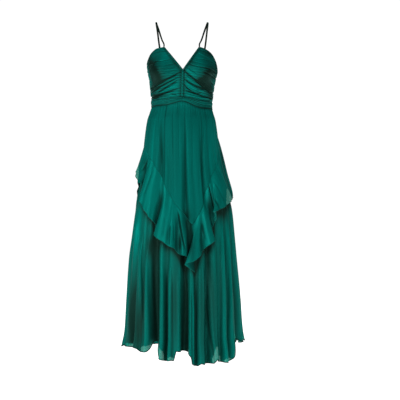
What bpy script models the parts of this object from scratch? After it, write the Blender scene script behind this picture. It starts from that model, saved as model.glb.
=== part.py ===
"""An evening gown in satin chiffon: a ruched V-neck bodice on narrow straps, a gathered upper
skirt with a V-pointed lower seam, a bias-cut flounce set in that seam, and a long full lower tier.

The gown is filled out as it is when worn, and nobody is in it. Metres, +Z up, front at -Y.
The origin is between the tops of the two shoulder straps, where a wearer's shoulders hold it up.
Angles run round the figure in degrees: 0 is the centre front, 90 the side at +X, 180 the centre back.
"""
import math
from collections import namedtuple

import bpy
from mathutils import Matrix, Vector

# Driving sizes
WALL = 0.0012                # cloth wall of skirts, flounces and bodice
SEAM_GAP = 0.0005            # space between two pieces at a seam, up and down
SEAM_TURN = 0.12             # half the space at an upright seam, degrees
COLUMN_STEP = 3              # degrees between two columns of a skirt's mesh
TIER_INSET = 0.0018          # the lower tier hangs this far inside the flounce's seam edge
TIER_DROP = 0.0010           # and starts this far below the V seam
FLOUNCE_DROP = 0.00125       # as the flounce does
SKIRT_DROP = 0.0008          # and the upper skirt below the waist seam
FLOUNCE_POINT = 12           # angle where the V seam reaches its lowest point in front

WAIST_HEIGHT = -0.335
V_HEIGHT = -0.75
HEM_HEIGHT = -1.30

CENTRE_X = 0.005             # the V neck ends a little to one side
APEX_X = 0.066
APEX_HEIGHT = -0.108
V_NECK_HEIGHT = -0.198
BINDING_DROP = 0.0113        # height of the neck binding, measured straight down
BINDING_WALL = 0.0018
GATHER_HALF_WIDTH = 0.005
GATHER_FOOT_X = 0.002
GATHER_RIPPLES = 7
GATHER_CROWN = 0.0014
NECK_GAP = 0.0008            # space between the binding, the gathered strip and the cups
BINDING_RAISE = 0.0006
BINDING_CROWN = 0.0004
NECK_SHARE = 0.46            # share of a cup's inner edge that lies along the neckline
FOLD_DROOP = 1.15            # how late a cup's folds sink on their way to the side seam

RUCHE_FOLDS = 13             # gathered folds on one cup
RUCHE_DEPTH = 0.0032
BAND_FOLDS = 2
BAND_DEPTH = 0.0032
BAND_STEP = 6                # degrees between two columns of the waist band
GATHER_DEPTH = 0.0011        # small gathers where the skirt is sewn to the waist band
GATHER_FALL = 0.11           # height over which they fade

STRAP_WIDTH = 0.0075
STRAP_WALL = 0.0018
STRAP_BACK_X = 0.078
STRAP_CURL_HUB = (0.070, 0.010, -0.090)   # a strap's flat side faces away from here
STRAP_LIFT = 0.0010          # a strap's end stands this far above the edge it is sewn to

FRONT_MEETING = 1.0          # angle where the two halves of the waist band meet

ZIP_HALF_WIDTH = 0.0015
ZIP_WALL = 0.0010
ZIP_EDGE = 0.0020            # half the space between the two back panels along the zip
BACK_MEETING = 0.0002        # half that space below the zip
ZIP_END = -0.50
SLIDER_LENGTH = 0.020
SLIDER_WIDTH = 0.0052
SLIDER_THICKNESS = 0.0014
SLIDER_DROP = 0.002          # its top lies this far below the back's top edge

# The figure that the gown is cut for: half widths and depths at each height.
Girth = namedtuple("Girth", "height left right front back")
GIRTHS = [
    Girth(-1.420, 0.250, 0.262, 0.230, 0.232),
    Girth(-1.300, 0.243, 0.256, 0.222, 0.224),
    Girth(-1.234, 0.232, 0.245, 0.214, 0.218),
    Girth(-1.110, 0.225, 0.237, 0.204, 0.208),
    Girth(-0.934, 0.213, 0.220, 0.190, 0.196),
    Girth(-0.870, 0.204, 0.214, 0.184, 0.190),
    Girth(-0.755, 0.188, 0.203, 0.172, 0.180),
    Girth(-0.674, 0.174, 0.184, 0.162, 0.170),
    Girth(-0.600, 0.162, 0.164, 0.152, 0.160),
    Girth(-0.488, 0.152, 0.147, 0.134, 0.143),
    Girth(-0.435, 0.146, 0.141, 0.121, 0.128),
    Girth(-0.392, 0.139, 0.134, 0.106, 0.110),
    Girth(-0.360, 0.128, 0.124, 0.094, 0.094),
    Girth(-0.335, 0.121, 0.119, 0.088, 0.087),
    Girth(-0.300, 0.125, 0.125, 0.090, 0.088),
    Girth(-0.267, 0.128, 0.129, 0.094, 0.091),
    Girth(-0.225, 0.133, 0.137, 0.098, 0.096),
    Girth(-0.198, 0.139, 0.143, 0.096, 0.097),
    Girth(-0.170, 0.141, 0.140, 0.093, 0.096),
    Girth(-0.135, 0.132, 0.130, 0.088, 0.093),
    Girth(-0.100, 0.116, 0.114, 0.080, 0.090),
]

# Long folds of the skirt. Each is a valley that starts at the waist and deepens to the hem.
Valley = namedtuple("Valley", "waist_angle hem_angle half_width at_v at_hem")
VALLEYS = [
    Valley(-78, -76, 7.0, 0.005, 0.022),
    Valley(-60, -59, 7.5, 0.008, 0.036),
    Valley(-46, -43, 4.5, 0.004, 0.015),
    Valley(-31, -29, 8.5, 0.014, 0.062),
    Valley(-16, -15, 5.0, 0.004, 0.030),
    Valley(6, 3, 5.5, 0.013, 0.046),
    Valley(18, 14, 4.5, 0.003, 0.020),
    Valley(33, 25, 5.0, 0.012, 0.034),
    Valley(46, 38, 4.5, 0.004, 0.020),
    Valley(60, 50, 5.0, 0.005, 0.024),
    Valley(72, 65, 6.5, 0.006, 0.042),
    Valley(84, 81, 6.5, 0.004, 0.026),
    Valley(101, 99, 6.0, 0.006, 0.024),
    Valley(114, 112, 7.0, 0.008, 0.038),
    Valley(127, 126, 5.0, 0.004, 0.022),
    Valley(141, 140, 7.0, 0.011, 0.048),
    Valley(155, 153, 5.0, 0.004, 0.022),
    Valley(168, 165, 6.0, 0.007, 0.036),
    Valley(-170, -172, 5.0, 0.006, 0.026),
    Valley(-158, -160, 6.5, 0.009, 0.044),
    Valley(-145, -147, 5.0, 0.004, 0.024),
    Valley(-132, -134, 6.5, 0.009, 0.038),
    Valley(-119, -120, 5.0, 0.004, 0.022),
    Valley(-106, -106, 6.5, 0.007, 0.034),
    Valley(-93, -92, 5.5, 0.004, 0.020),
]

# Edges that run round the figure, as heights at an angle.
Edge = namedtuple("Edge", "angle height")
TOP_EDGE = [
    Edge(-180, -0.212), Edge(-130, -0.208), Edge(-100, -0.197), Edge(-90, -0.182), Edge(-86, -0.164),
    Edge(-82, -0.149), Edge(-74, -0.129), Edge(-66, -0.1175), Edge(-58, -0.111), Edge(-48, -0.109),
    Edge(-30, -0.108), Edge(40, -0.108), Edge(50, -0.112), Edge(62, -0.121), Edge(72, -0.138),
    Edge(80, -0.158), Edge(90, -0.182), Edge(100, -0.197), Edge(130, -0.208), Edge(180, -0.212),
]
BAND_TOP = [
    Edge(-180, -0.320), Edge(-90, -0.316), Edge(-40, -0.312), Edge(-15, -0.307),
    Edge(1, -0.305), Edge(12, -0.308), Edge(35, -0.317), Edge(90, -0.322), Edge(180, -0.320),
]
WAIST_SEAM = [
    Edge(-180, -0.347), Edge(-90, -0.341), Edge(-33, -0.338), Edge(-15, -0.331),
    Edge(1, -0.3235), Edge(12, -0.330), Edge(27, -0.343), Edge(43, -0.350), Edge(90, -0.350),
    Edge(180, -0.347),
]
V_SEAM = [
    Edge(-180, -0.735), Edge(-150, -0.665), Edge(-120, -0.565), Edge(-98, -0.497),
    Edge(-84, -0.497), Edge(-51, -0.548), Edge(-28, -0.626), Edge(-20, -0.664), Edge(-8, -0.722),
    Edge(4, -0.766), Edge(12, -0.802), Edge(19, -0.768), Edge(24, -0.738), Edge(33, -0.668),
    Edge(47, -0.609), Edge(72, -0.530),
    Edge(88, -0.468), Edge(100, -0.452), Edge(120, -0.535), Edge(150, -0.655), Edge(180, -0.735),
]
HEM = [
    Edge(-180, -1.300), Edge(-150, -1.312), Edge(-120, -1.292), Edge(-90, -1.290),
    Edge(-66, -1.282), Edge(-56, -1.281), Edge(-47, -1.279), Edge(-43, -1.293), Edge(-36, -1.294),
    Edge(-34, -1.282), Edge(-31.5, -1.252), Edge(-27, -1.252), Edge(-22.5, -1.312), Edge(-14, -1.320),
    Edge(-7, -1.320), Edge(-4, -1.280), Edge(1, -1.286), Edge(8, -1.296), Edge(10, -1.328),
    Edge(15, -1.343), Edge(18, -1.331), Edge(29, -1.335), Edge(32.5, -1.319), Edge(38, -1.327),
    Edge(48, -1.338), Edge(54, -1.314), Edge(57, -1.250), Edge(67, -1.246), Edge(71, -1.265),
    Edge(80, -1.272), Edge(90, -1.268), Edge(120, -1.290),
    Edge(150, -1.316), Edge(180, -1.300),
]

# The right strap from the cup's apex to the back's top edge: places along it, and how far its
# flat side is turned. Its two ends are worked out from the edges it is sewn to.
Stop = namedtuple("Stop", "share x y height turned")
STRAP_ROUTE = [
    Stop(0.10, 0.078, -0.059, -0.080, 42),
    Stop(0.20, 0.090, -0.047, -0.042, 22),
    Stop(0.30, 0.1000, -0.030, -0.012, 6),
    Stop(0.38, 0.1035, -0.008, -0.0008, 0),
    Stop(0.46, 0.1035, 0.018, -0.0020, 0),
    Stop(0.56, 0.1010, 0.046, -0.022, 0),
    Stop(0.70, 0.0950, 0.070, -0.072, 0),
    Stop(0.85, 0.0850, 0.083, -0.140, 0),
]

# How far down each skirt piece its rows lie.
UPPER_ROWS = (0, 0.09, 0.30, 0.62, 1)
LOWER_ROWS = (0, 0.14, 0.30, 0.48, 0.66, 0.84, 1)

# How far down the side seam each fold of a cup ends: they crowd towards the waist.
Fan = namedtuple("Fan", "down outer")
FOLD_FAN = [Fan(0, 0), Fan(0.22, 0.34), Fan(0.46, 0.68), Fan(0.70, 0.87), Fan(1, 1)]

# The flounce hangs from the V seam. Each row is one turn of its S-folds: where it is sewn, and
# where its hem comes to: the angle, the height, and how far it stands out from the skirt.
Turn = namedtuple("Turn", "seam_angle hem_angle hem_height stands_out")
SIDE_LEFT = Turn(-90, -92, -0.592, 0.020)
SIDE_RIGHT = Turn(90, 86, -0.700, 0.012)
V_POINT = Turn(FLOUNCE_POINT, 13, -0.984, 0.007)
FLOUNCE_FRONT_LEFT = [
    SIDE_LEFT,
    Turn(-84, -78, -0.606, 0.025),
    Turn(-78, -67, -0.628, 0.026),
    Turn(-72, -60, -0.643, 0.022),
    Turn(-66, -57.2, -0.655, 0.011),
    Turn(-60, -55, -0.674, 0.011),
    Turn(-54, -52.7, -0.692, 0.028),
    Turn(-51, -50.4, -0.703, 0.036),
    Turn(-48, -46.5, -0.720, 0.040),
    Turn(-42, -37.5, -0.755, 0.041),
    Turn(-36, -32, -0.779, 0.038),
    Turn(-33, -30.2, -0.786, 0.035),
    Turn(-30, -29.5, -0.791, 0.028),
    Turn(-27, -29.3, -0.799, 0.015),
    Turn(-24, -28.9, -0.812, 0.007),
    Turn(-21, -28.6, -0.830, 0.015),
    Turn(-19.5, -28.2, -0.840, 0.026),
    Turn(-18, -25.7, -0.848, 0.034),
    Turn(-12, -15, -0.873, 0.041),
    Turn(-10.5, -12.3, -0.882, 0.035),
    Turn(-9, -9, -0.888, 0.037),
    Turn(-7.5, -6.5, -0.893, 0.029),
    Turn(-4.5, -4.8, -0.905, 0.011),
    Turn(-1.5, -2, -0.915, 0.016),
    Turn(1.5, 1.5, -0.919, 0.028),
    Turn(4.5, 4.5, -0.922, 0.027),
    Turn(7.5, 7, -0.933, 0.013),
    Turn(9, 9, -0.945, 0.008),
    V_POINT,
]
FLOUNCE_FRONT_RIGHT = [
    V_POINT,
    Turn(13.5, 9, -0.972, 0.015),
    Turn(15, 3.5, -0.955, 0.030),
    Turn(16.5, 5.5, -0.948, 0.040),
    Turn(18, 10.5, -0.942, 0.042),
    Turn(19.5, 16, -0.927, 0.032),
    Turn(21, 19.5, -0.917, 0.015),
    Turn(22.5, 21, -0.903, 0.013),
    Turn(24, 23.5, -0.889, 0.029),
    Turn(25.5, 27, -0.877, 0.040),
    Turn(27, 31.5, -0.864, 0.036),
    Turn(28.5, 32.6, -0.849, 0.021),
    Turn(31.5, 32.8, -0.823, 0.009),
    Turn(34.5, 34.2, -0.805, 0.011),
    Turn(37.5, 36, -0.795, 0.014),
    Turn(40.5, 37.4, -0.780, 0.018),
    Turn(43.5, 36, -0.766, 0.025),
    Turn(45, 34, -0.760, 0.030),
    Turn(48, 31, -0.755, 0.039),
    Turn(51, 33, -0.752, 0.046),
    Turn(57, 42.5, -0.739, 0.045),
    Turn(63, 53, -0.724, 0.034),
    Turn(69, 61.5, -0.717, 0.025),
    Turn(75, 68.5, -0.711, 0.018),
    Turn(81, 75, -0.706, 0.014),
    Turn(87, 82.5, -0.702, 0.012),
    SIDE_RIGHT,
]
BACK_WAVES = 5
BACK_DROP = 0.188
BACK_WAVE_DROP = 0.012
BACK_WAVE_SWING = 3.5
BACK_STANDS_OUT = 0.024
BACK_WAVE_OUT = 0.013
SIDE_PUFF = 0.013            # how far the flounce puffs out behind the right side seam
SIDE_PUFF_ANGLE = 101
SIDE_PUFF_SPREAD = 8
FLOUNCE_ROWS = 5

# Bust shaping of the cups.
BUST_ANGLE = 35
BUST_HEIGHT = -0.208
BUST_SPREAD = 20
BUST_RISE = 0.050
BUST_DEPTH = 0.027

GREEN = (0.004, 0.150, 0.118, 1)
DARK_GREEN = (0.004, 0.120, 0.095, 1)
STRAP_GREEN = (0.008, 0.016, 0.012, 1)
METAL = (0.030, 0.110, 0.090, 1)


def clear_scene():
    """Takes every object out of the file."""
    for thing in list(bpy.data.objects):
        bpy.data.objects.remove(thing)


def material(name, colour, roughness, metallic=0.0):
    """A plain finish for one piece."""
    made = bpy.data.materials.new(name)
    made.use_nodes = True
    shader = made.node_tree.nodes["Principled BSDF"]
    shader.inputs["Base Color"].default_value = colour
    shader.inputs["Roughness"].default_value = roughness
    shader.inputs["Metallic"].default_value = metallic
    return made


def read(table, place, rounded=False):
    """Reads a table at a place by a cubic through its rows. It never overshoots them unless it
    is rounded, which swings freely past a turn, as a fold's edge does."""
    rows = sorted(table)
    place = min(max(place, rows[0][0]), rows[-1][0])
    after = next(i for i in range(1, len(rows)) if place <= rows[i][0])

    def slope(i, column):
        if i in (0, len(rows) - 1):
            return 0.0
        before = (rows[i][column] - rows[i - 1][column]) / (rows[i][0] - rows[i - 1][0])
        beyond = (rows[i + 1][column] - rows[i][column]) / (rows[i + 1][0] - rows[i][0])
        if rounded:
            return (rows[i + 1][column] - rows[i - 1][column]) / (rows[i + 1][0] - rows[i - 1][0])
        return 2 * before * beyond / (before + beyond) if before * beyond > 0 else 0.0

    low, high = rows[after - 1], rows[after]
    span = high[0] - low[0]
    t = (place - low[0]) / span
    values = []
    for column in range(1, len(low)):
        values.append(
            (2 * t**3 - 3 * t**2 + 1) * low[column]
            + (t**3 - 2 * t**2 + t) * span * slope(after - 1, column)
            + (3 * t**2 - 2 * t**3) * high[column]
            + (t**3 - t**2) * span * slope(after, column)
        )
    return values


def wrapped(angle):
    """The same direction as an angle from -180 to 180."""
    return (angle + 180) % 360 - 180


def height_of(edge, angle):
    """Height of an edge that runs all round."""
    return read(edge, wrapped(angle))[0]


def top_height(angle):
    """Height of the bodice's top edge."""
    return read(TOP_EDGE, wrapped(angle))[0]


def eased(share):
    """A share from 0 to 1 with a soft start and end."""
    share = min(max(share, 0.0), 1.0)
    return share * share * (3 - 2 * share)


def mix(a, b, share):
    return a + (b - a) * share


def figure(angle, height):
    """Point and outward direction of the smooth figure."""
    left, right, front, back = read(GIRTHS, height)
    turned = math.radians(angle)
    across, ahead = math.sin(turned), math.cos(turned)
    half = right if across > 0 else left
    deep = front if ahead > 0 else back
    outward = Vector((across / half, -ahead / deep, 0)).normalized()
    return Vector((half * across, -deep * ahead, height)), outward


def bust(angle, height):
    """How far a cup stands out over the bust."""
    rise = math.exp(-(((height - BUST_HEIGHT) / BUST_RISE) ** 2))
    sides = sum(
        math.exp(-(((wrapped(angle) - side * BUST_ANGLE) / BUST_SPREAD) ** 2)) for side in (-1, 1)
    )
    return BUST_DEPTH * rise * sides


def bodice(angle, height, raised=0.0):
    """Point on the bodice, moved out by a raise."""
    point, outward = figure(angle, height)
    return point + outward * (bust(angle, height) + raised)


def angle_at(across, height):
    """Front angle whose point lies at a given X."""
    left, right, _, _ = read(GIRTHS, height)
    half = right if across > 0 else left
    return math.degrees(math.asin(across / half))


def valley_depth(angle, height):
    """Depth of the skirt's long folds."""
    fallen = (WAIST_HEIGHT - height) / (WAIST_HEIGHT - HEM_HEIGHT)
    upper = eased((WAIST_HEIGHT - height) / (WAIST_HEIGHT - V_HEIGHT))
    lower = min(max((V_HEIGHT - height) / (V_HEIGHT - HEM_HEIGHT), 0.0), 1.0) ** 1.1
    total = 0.0
    for valley in VALLEYS:
        middle = mix(valley.waist_angle, valley.hem_angle, fallen)
        off = abs(wrapped(angle - middle)) / valley.half_width
        if off < 1:
            depth = valley.at_v * upper + (valley.at_hem - valley.at_v) * lower
            total += depth * math.cos(off * math.pi / 2) ** 2
    return total


def skirt(angle, height, raised=0.0, folded=1.0):
    """Point on the skirt. Folded is the share of its folds' depth, and raised moves it out."""
    point, outward = figure(angle, height)
    return point + outward * (raised - folded * valley_depth(angle, height))


def lower_skirt(angle, height):
    """Point on the lower tier, set inside the skirt along its own normal."""
    side = skirt(angle + 0.5, height) - skirt(angle - 0.5, height)
    down = skirt(angle, height - 0.005) - skirt(angle, height + 0.005)
    inward = side.cross(down).normalized()
    return skirt(angle, height) + inward * TIER_INSET


def columns_between(first, last):
    """Column angles of a skirt piece between two upright seams."""
    start = math.ceil((first + 1) / COLUMN_STEP) * COLUMN_STEP
    inner = [a for a in range(start, int(last), COLUMN_STEP) if a < last - 1]
    return [first + SEAM_TURN, *inner, last - SEAM_TURN]


def cloth(name, columns, finish, collection, wall=WALL):
    """A cloth piece: columns of points, each from top to bottom, given a wall on the inside."""
    rows = len(columns[0])
    points = [point for column in columns for point in column]
    faces = [
        (c * rows + r, c * rows + r + 1, (c + 1) * rows + r + 1, (c + 1) * rows + r)
        for c in range(len(columns) - 1)
        for r in range(rows - 1)
    ]
    mesh = bpy.data.meshes.new(name)
    mesh.from_pydata(points, [], faces)
    mesh.shade_smooth()
    piece = bpy.data.objects.new(name, mesh)
    collection.objects.link(piece)
    mesh.materials.append(finish)
    solidify = piece.modifiers.new("cloth wall", "SOLIDIFY")
    solidify.thickness = wall
    solidify.offset = -1
    return piece


def shares(count):
    return [i / count for i in range(count + 1)]


def ruche(folds, down, depth, fade):
    """Raise of gathered cloth: rounded folds between sharp valleys."""
    return depth * fade * abs(math.sin(math.pi * folds * down)) ** 0.8


def neckline(side, share, lowered):
    """X and height on the neckline from a cup's apex to the V, or that far below it."""
    aside = lowered * (APEX_X + CENTRE_X) / (APEX_HEIGHT - V_NECK_HEIGHT)
    across = mix(side * (APEX_X + aside), CENTRE_X, share)
    return across, mix(APEX_HEIGHT, V_NECK_HEIGHT - lowered, share)


def cup(side, name, finish, collection):
    """One ruched cup, from its neckline and the centre front out to the side seam."""
    lowered = BINDING_DROP + NECK_GAP
    corner = 1 - (GATHER_HALF_WIDTH + NECK_GAP) / (APEX_X + CENTRE_X)
    band_height = height_of(BAND_TOP, 0) + SEAM_GAP

    def inner_edge(down):
        if down < NECK_SHARE:
            return neckline(side, corner * down / NECK_SHARE, lowered)
        share = (down - NECK_SHARE) / (1 - NECK_SHARE)
        across, height = neckline(side, corner, lowered)
        foot = GATHER_FOOT_X + side * (GATHER_HALF_WIDTH + NECK_GAP)
        return mix(across, foot, share), mix(height, band_height, share)

    outer_top = top_height(side * 90)
    outer_foot = height_of(BAND_TOP, side * 90) + SEAM_GAP
    outer_angle = side * (90 - SEAM_TURN)
    first, last = inner_edge(0), inner_edge(1)

    def point(away, down):
        across, height = inner_edge(down)
        angle = mix(angle_at(across, height), outer_angle, away)
        top_angle = mix(angle_at(*first), outer_angle, away)
        foot_angle = mix(angle_at(*last), outer_angle, away)
        outer = mix(outer_top, outer_foot, read(FOLD_FAN, down)[0])
        plain = mix(height, outer, away**FOLD_DROOP)
        at_top = top_height(top_angle) - mix(first[1], outer_top, away**FOLD_DROOP)
        at_foot = height_of(BAND_TOP, foot_angle) + SEAM_GAP
        at_foot -= mix(last[1], outer_foot, away**FOLD_DROOP)
        fade = eased((away - 0.03) / 0.12) * eased((0.96 - away) / 0.16)
        raised = ruche(RUCHE_FOLDS, down, RUCHE_DEPTH, fade)
        return bodice(angle, plain + mix(at_top, at_foot, down), raised)

    downs = shares(RUCHE_FOLDS * 3)
    aways = [0, 0.03, 0.14, 0.32, 0.50, 0.67, 0.82, 0.96, 1]
    if side < 0:
        aways.reverse()
    return cloth(name, [[point(a, d) for d in downs] for a in aways], finish, collection)


def neck_binding(side, name, finish, collection):
    """The bound neckline edge from the cup's apex to the point of the V."""
    columns = []
    for share in shares(8):
        column = []
        for step in shares(2):
            across, height = neckline(side, share, BINDING_DROP * step)
            across += side * NECK_GAP / 2
            raised = BINDING_RAISE + BINDING_CROWN * math.sin(math.pi * step)
            column.append(bodice(angle_at(across, height), height, raised))
        columns.append(column)
    if side > 0:
        columns.reverse()
    return cloth(name, columns, finish, collection, BINDING_WALL)


def centre_gather(name, finish, collection):
    """The narrow gathered strip over the centre-front seam, from the V down to the waist band."""
    slope = (APEX_HEIGHT - V_NECK_HEIGHT) / (APEX_X + CENTRE_X)
    foot = height_of(BAND_TOP, 0) + SEAM_GAP
    columns = []
    for step in shares(3):
        aside = mix(-1, 1, step) * GATHER_HALF_WIDTH
        top = V_NECK_HEIGHT - BINDING_DROP - 2.6 * NECK_GAP + abs(aside) * slope
        column = []
        for down in shares(GATHER_RIPPLES * 2):
            height = mix(top, foot, down)
            across = mix(CENTRE_X, GATHER_FOOT_X, down) + aside
            crown = GATHER_CROWN * math.sin(math.pi * step)
            ripple = math.sin(math.pi * GATHER_RIPPLES * down) ** 2
            raised = SEAM_GAP + crown * (1 + 0.5 * ripple)
            column.append(bodice(angle_at(across, height), height, raised))
        columns.append(column)
    return cloth(name, columns, finish, collection)


def zip_edge_angle(height):
    """Angle of a back panel's edge, which lies beside the zip and below it meets the other."""
    left, right, _, _ = read(GIRTHS, height)
    space = mix(BACK_MEETING, ZIP_EDGE, eased((height - ZIP_END) / 0.03 + 1))
    return 180 - math.degrees(math.asin(space / min(left, right)))


def waistband(side, name, finish, collection):
    """One half of the ruched waist band, from the centre front round to the zip."""
    first = FRONT_MEETING + side * 2 * SEAM_TURN
    last = side * zip_edge_angle(WAIST_HEIGHT)
    angles = [first, *(side * a for a in range(BAND_STEP, 180, BAND_STEP)), last]
    columns = []
    for angle in angles:
        ends = min(abs(angle - first), abs(last - angle))
        column = []
        for down in shares(BAND_FOLDS * 3):
            height = mix(height_of(BAND_TOP, angle), height_of(WAIST_SEAM, angle), down)
            fade = eased((ends - 2) / 8)
            column.append(bodice(angle, height, ruche(BAND_FOLDS, down, BAND_DEPTH, fade)))
        columns.append(column)
    if side < 0:
        columns.reverse()
    return cloth(name, columns, finish, collection)


def back_panel(side, name, finish, collection):
    """A plain back bodice panel from the side seam to the zip."""
    columns = []
    for away in shares(8):
        column = []
        for down in shares(6):
            beside_zip = mix(top_height(180), height_of(BAND_TOP, 180), down)
            angle = side * mix(90 + SEAM_TURN, zip_edge_angle(beside_zip), away)
            height = mix(top_height(angle), height_of(BAND_TOP, angle) + SEAM_GAP, down)
            column.append(bodice(angle, height))
        columns.append(column)
    if side < 0:
        columns.reverse()
    return cloth(name, columns, finish, collection)


def strap(side, name, finish, collection):
    """A narrow flat strap from the cup's apex, over the shoulder, to the back's top edge."""
    lift = Vector((0, 0, STRAP_LIFT))
    front_angle = angle_at(APEX_X + STRAP_WIDTH / 2, APEX_HEIGHT)
    front = bodice(front_angle, top_height(front_angle)) + lift
    back_angle = 180 - angle_at(STRAP_BACK_X, top_height(180))
    back = bodice(back_angle, top_height(back_angle)) + lift
    route = [
        Stop(0.00, front.x, front.y, front.z, 50),
        Stop(0.03, front.x, front.y, front.z + 0.007, 50),
        *STRAP_ROUTE,
        Stop(0.97, STRAP_BACK_X, back.y, back.z + 0.010, 0),
        Stop(1.00, STRAP_BACK_X, back.y, back.z, 0),
    ]

    def place(share):
        x, y, height, turned = read(route, share)
        return Vector((side * x, y, height)), turned

    hub = Vector(STRAP_CURL_HUB)
    hub.x *= side
    columns = [[], []]
    for share in shares(26):
        here, turned = place(share)
        ahead, _ = place(min(share + 0.01, 1))
        behind, _ = place(max(share - 0.01, 0))
        along = (ahead - behind).normalized()
        outward = here - hub
        outward = (outward - along * outward.dot(along)).normalized()
        sideways = along.cross(outward)
        sideways = Matrix.Rotation(math.radians(side * turned), 3, along) @ sideways
        columns[0].append(here + sideways * (STRAP_WIDTH / 2))
        columns[1].append(here - sideways * (STRAP_WIDTH / 2))
    return cloth(name, columns, finish, collection, STRAP_WALL)


def zip_tape(name, finish, collection):
    """The closed invisible zip between the back panels, from the top edge to below the waist."""
    columns = []
    for step in shares(2):
        column = []
        for down in shares(14):
            height = mix(top_height(180), ZIP_END, down)
            left, right, _, _ = read(GIRTHS, height)
            turn = math.degrees(math.asin(ZIP_HALF_WIDTH / min(left, right)))
            column.append(figure(180 + mix(-turn, turn, step), height)[0])
        columns.append(column)
    return cloth(name, columns, finish, collection, ZIP_WALL)


def zip_slider(name, finish, collection):
    """The zip's slider with its small teardrop pull, in one piece, hanging at the zip's top."""
    outline = []
    for step in range(12):
        turn = math.tau * step / 12
        taper = mix(1.0, 0.45, (1 + math.cos(turn)) / 2)
        across = SLIDER_WIDTH / 2 * math.sin(turn) * taper
        outline.append((across, SLIDER_LENGTH / 2 * math.cos(turn), 0, 1))
    curve = bpy.data.curves.new(name, "CURVE")
    curve.dimensions = "2D"
    curve.fill_mode = "BOTH"
    curve.extrude = SLIDER_THICKNESS / 2
    spline = curve.splines.new("POLY")
    spline.points.add(len(outline) - 1)
    for target, corner in zip(spline.points, outline):
        target.co = corner
    spline.use_cyclic_u = True
    curve.materials.append(finish)
    piece = bpy.data.objects.new(name, curve)
    collection.objects.link(piece)
    top = top_height(180) - SLIDER_DROP
    heights = (top, top - SLIDER_LENGTH / 2, top - SLIDER_LENGTH)
    backmost = max(figure(180, height)[0].y for height in heights)
    piece.location = (0, backmost + SEAM_GAP + SLIDER_THICKNESS / 2, heights[1])
    piece.rotation_euler = (math.pi / 2, 0, 0)
    return piece


def upper_skirt(first, last, name, finish, collection):
    """A panel of the upper tier, gathered at the waist, down to the V seam."""
    columns = []
    angles = columns_between(first, last)
    for angle in angles:
        ridge = (angle / COLUMN_STEP) % 2 - 0.5 if angle in angles[2:-2] else 0
        column = []
        for down in UPPER_ROWS:
            top = height_of(WAIST_SEAM, angle) - SKIRT_DROP
            height = mix(top, height_of(V_SEAM, angle), down)
            fallen = (top - height) / GATHER_FALL
            gather = GATHER_DEPTH * ridge * 2 * min(0.4 + 8 * fallen, 1) * (1 - eased(fallen))
            edge = zip_edge_angle(height)
            column.append(skirt(min(max(angle, -edge), edge), height, gather))
        columns.append(column)
    return cloth(name, columns, finish, collection)


def lower_skirt_panel(first, last, name, finish, collection):
    """Half of the long lower tier, from the V seam to its uneven hem."""
    columns = []
    for angle in columns_between(first, last):
        column = []
        for down in LOWER_ROWS:
            top = height_of(V_SEAM, angle) - TIER_DROP
            column.append(lower_skirt(angle, mix(top, height_of(HEM, angle), down)))
        columns.append(column)
    return cloth(name, columns, finish, collection)


def back_turns(side, side_turn):
    """Even S-folds of a back flounce, from the side seam to the centre back."""
    turns = [side_turn]
    for step in range(1, 2 * BACK_WAVES + 1):
        seam = side * mix(90, 180, step / (2 * BACK_WAVES))
        out = 1 if step % 2 else -1
        last = step == 2 * BACK_WAVES
        swing = 0 if last else side * out * BACK_WAVE_SWING * eased(step / 4)
        drop = BACK_DROP - out * BACK_WAVE_DROP
        height = height_of(V_SEAM, seam) - drop
        settled = eased(step / 4)
        height = mix(side_turn.hem_height, height, settled)
        stands_out = mix(side_turn.stands_out, BACK_STANDS_OUT, settled) + out * BACK_WAVE_OUT * settled
        turns.append(Turn(seam, seam + swing, height, stands_out))
    return sorted(turns)


def seam_point(angle):
    """Point just below the V seam, on the straight stretch between two of the skirt's columns."""
    low = math.floor(angle / COLUMN_STEP) * COLUMN_STEP
    ends = [skirt(a, height_of(V_SEAM, a) - FLOUNCE_DROP) for a in (low, low + COLUMN_STEP)]
    return ends[0].lerp(ends[1], (angle - low) / COLUMN_STEP)


def flounce(turns, between, name, finish, collection):
    """A stretch of flounce between its seam edge and its hem, through the turns of its folds.
    Between is the number of mesh columns from one turn to the next."""
    first, last = turns[0].seam_angle, turns[-1].seam_angle
    angles = [first + SEAM_TURN]
    for turn, following in zip(turns, turns[1:]):
        angles += [mix(turn.seam_angle, following.seam_angle, s) for s in shares(between)[1:]]
    angles[-1] = last - SEAM_TURN
    columns = []
    for angle in angles:
        hem_angle, hem_height, stands_out = read(turns, angle, True)
        if angle < first + 1:
            hem_angle += SEAM_TURN
        if angle > last - 1:
            hem_angle -= SEAM_TURN
        top = height_of(V_SEAM, angle) - FLOUNCE_DROP
        puff = SIDE_PUFF * math.exp(-(((angle - SIDE_PUFF_ANGLE) / SIDE_PUFF_SPREAD) ** 2))
        column = [seam_point(angle)]
        for down in shares(FLOUNCE_ROWS)[1:]:
            turned = mix(angle, hem_angle, down**1.2)
            height = mix(top, hem_height, down)
            raised = stands_out * down**1.1 + puff * max(math.sin(math.pi * down), 0) ** 0.6
            column.append(skirt(turned, height, raised, (1 - down) ** 2))
        columns.append(column)
    return cloth(name, columns, finish, collection)


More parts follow.
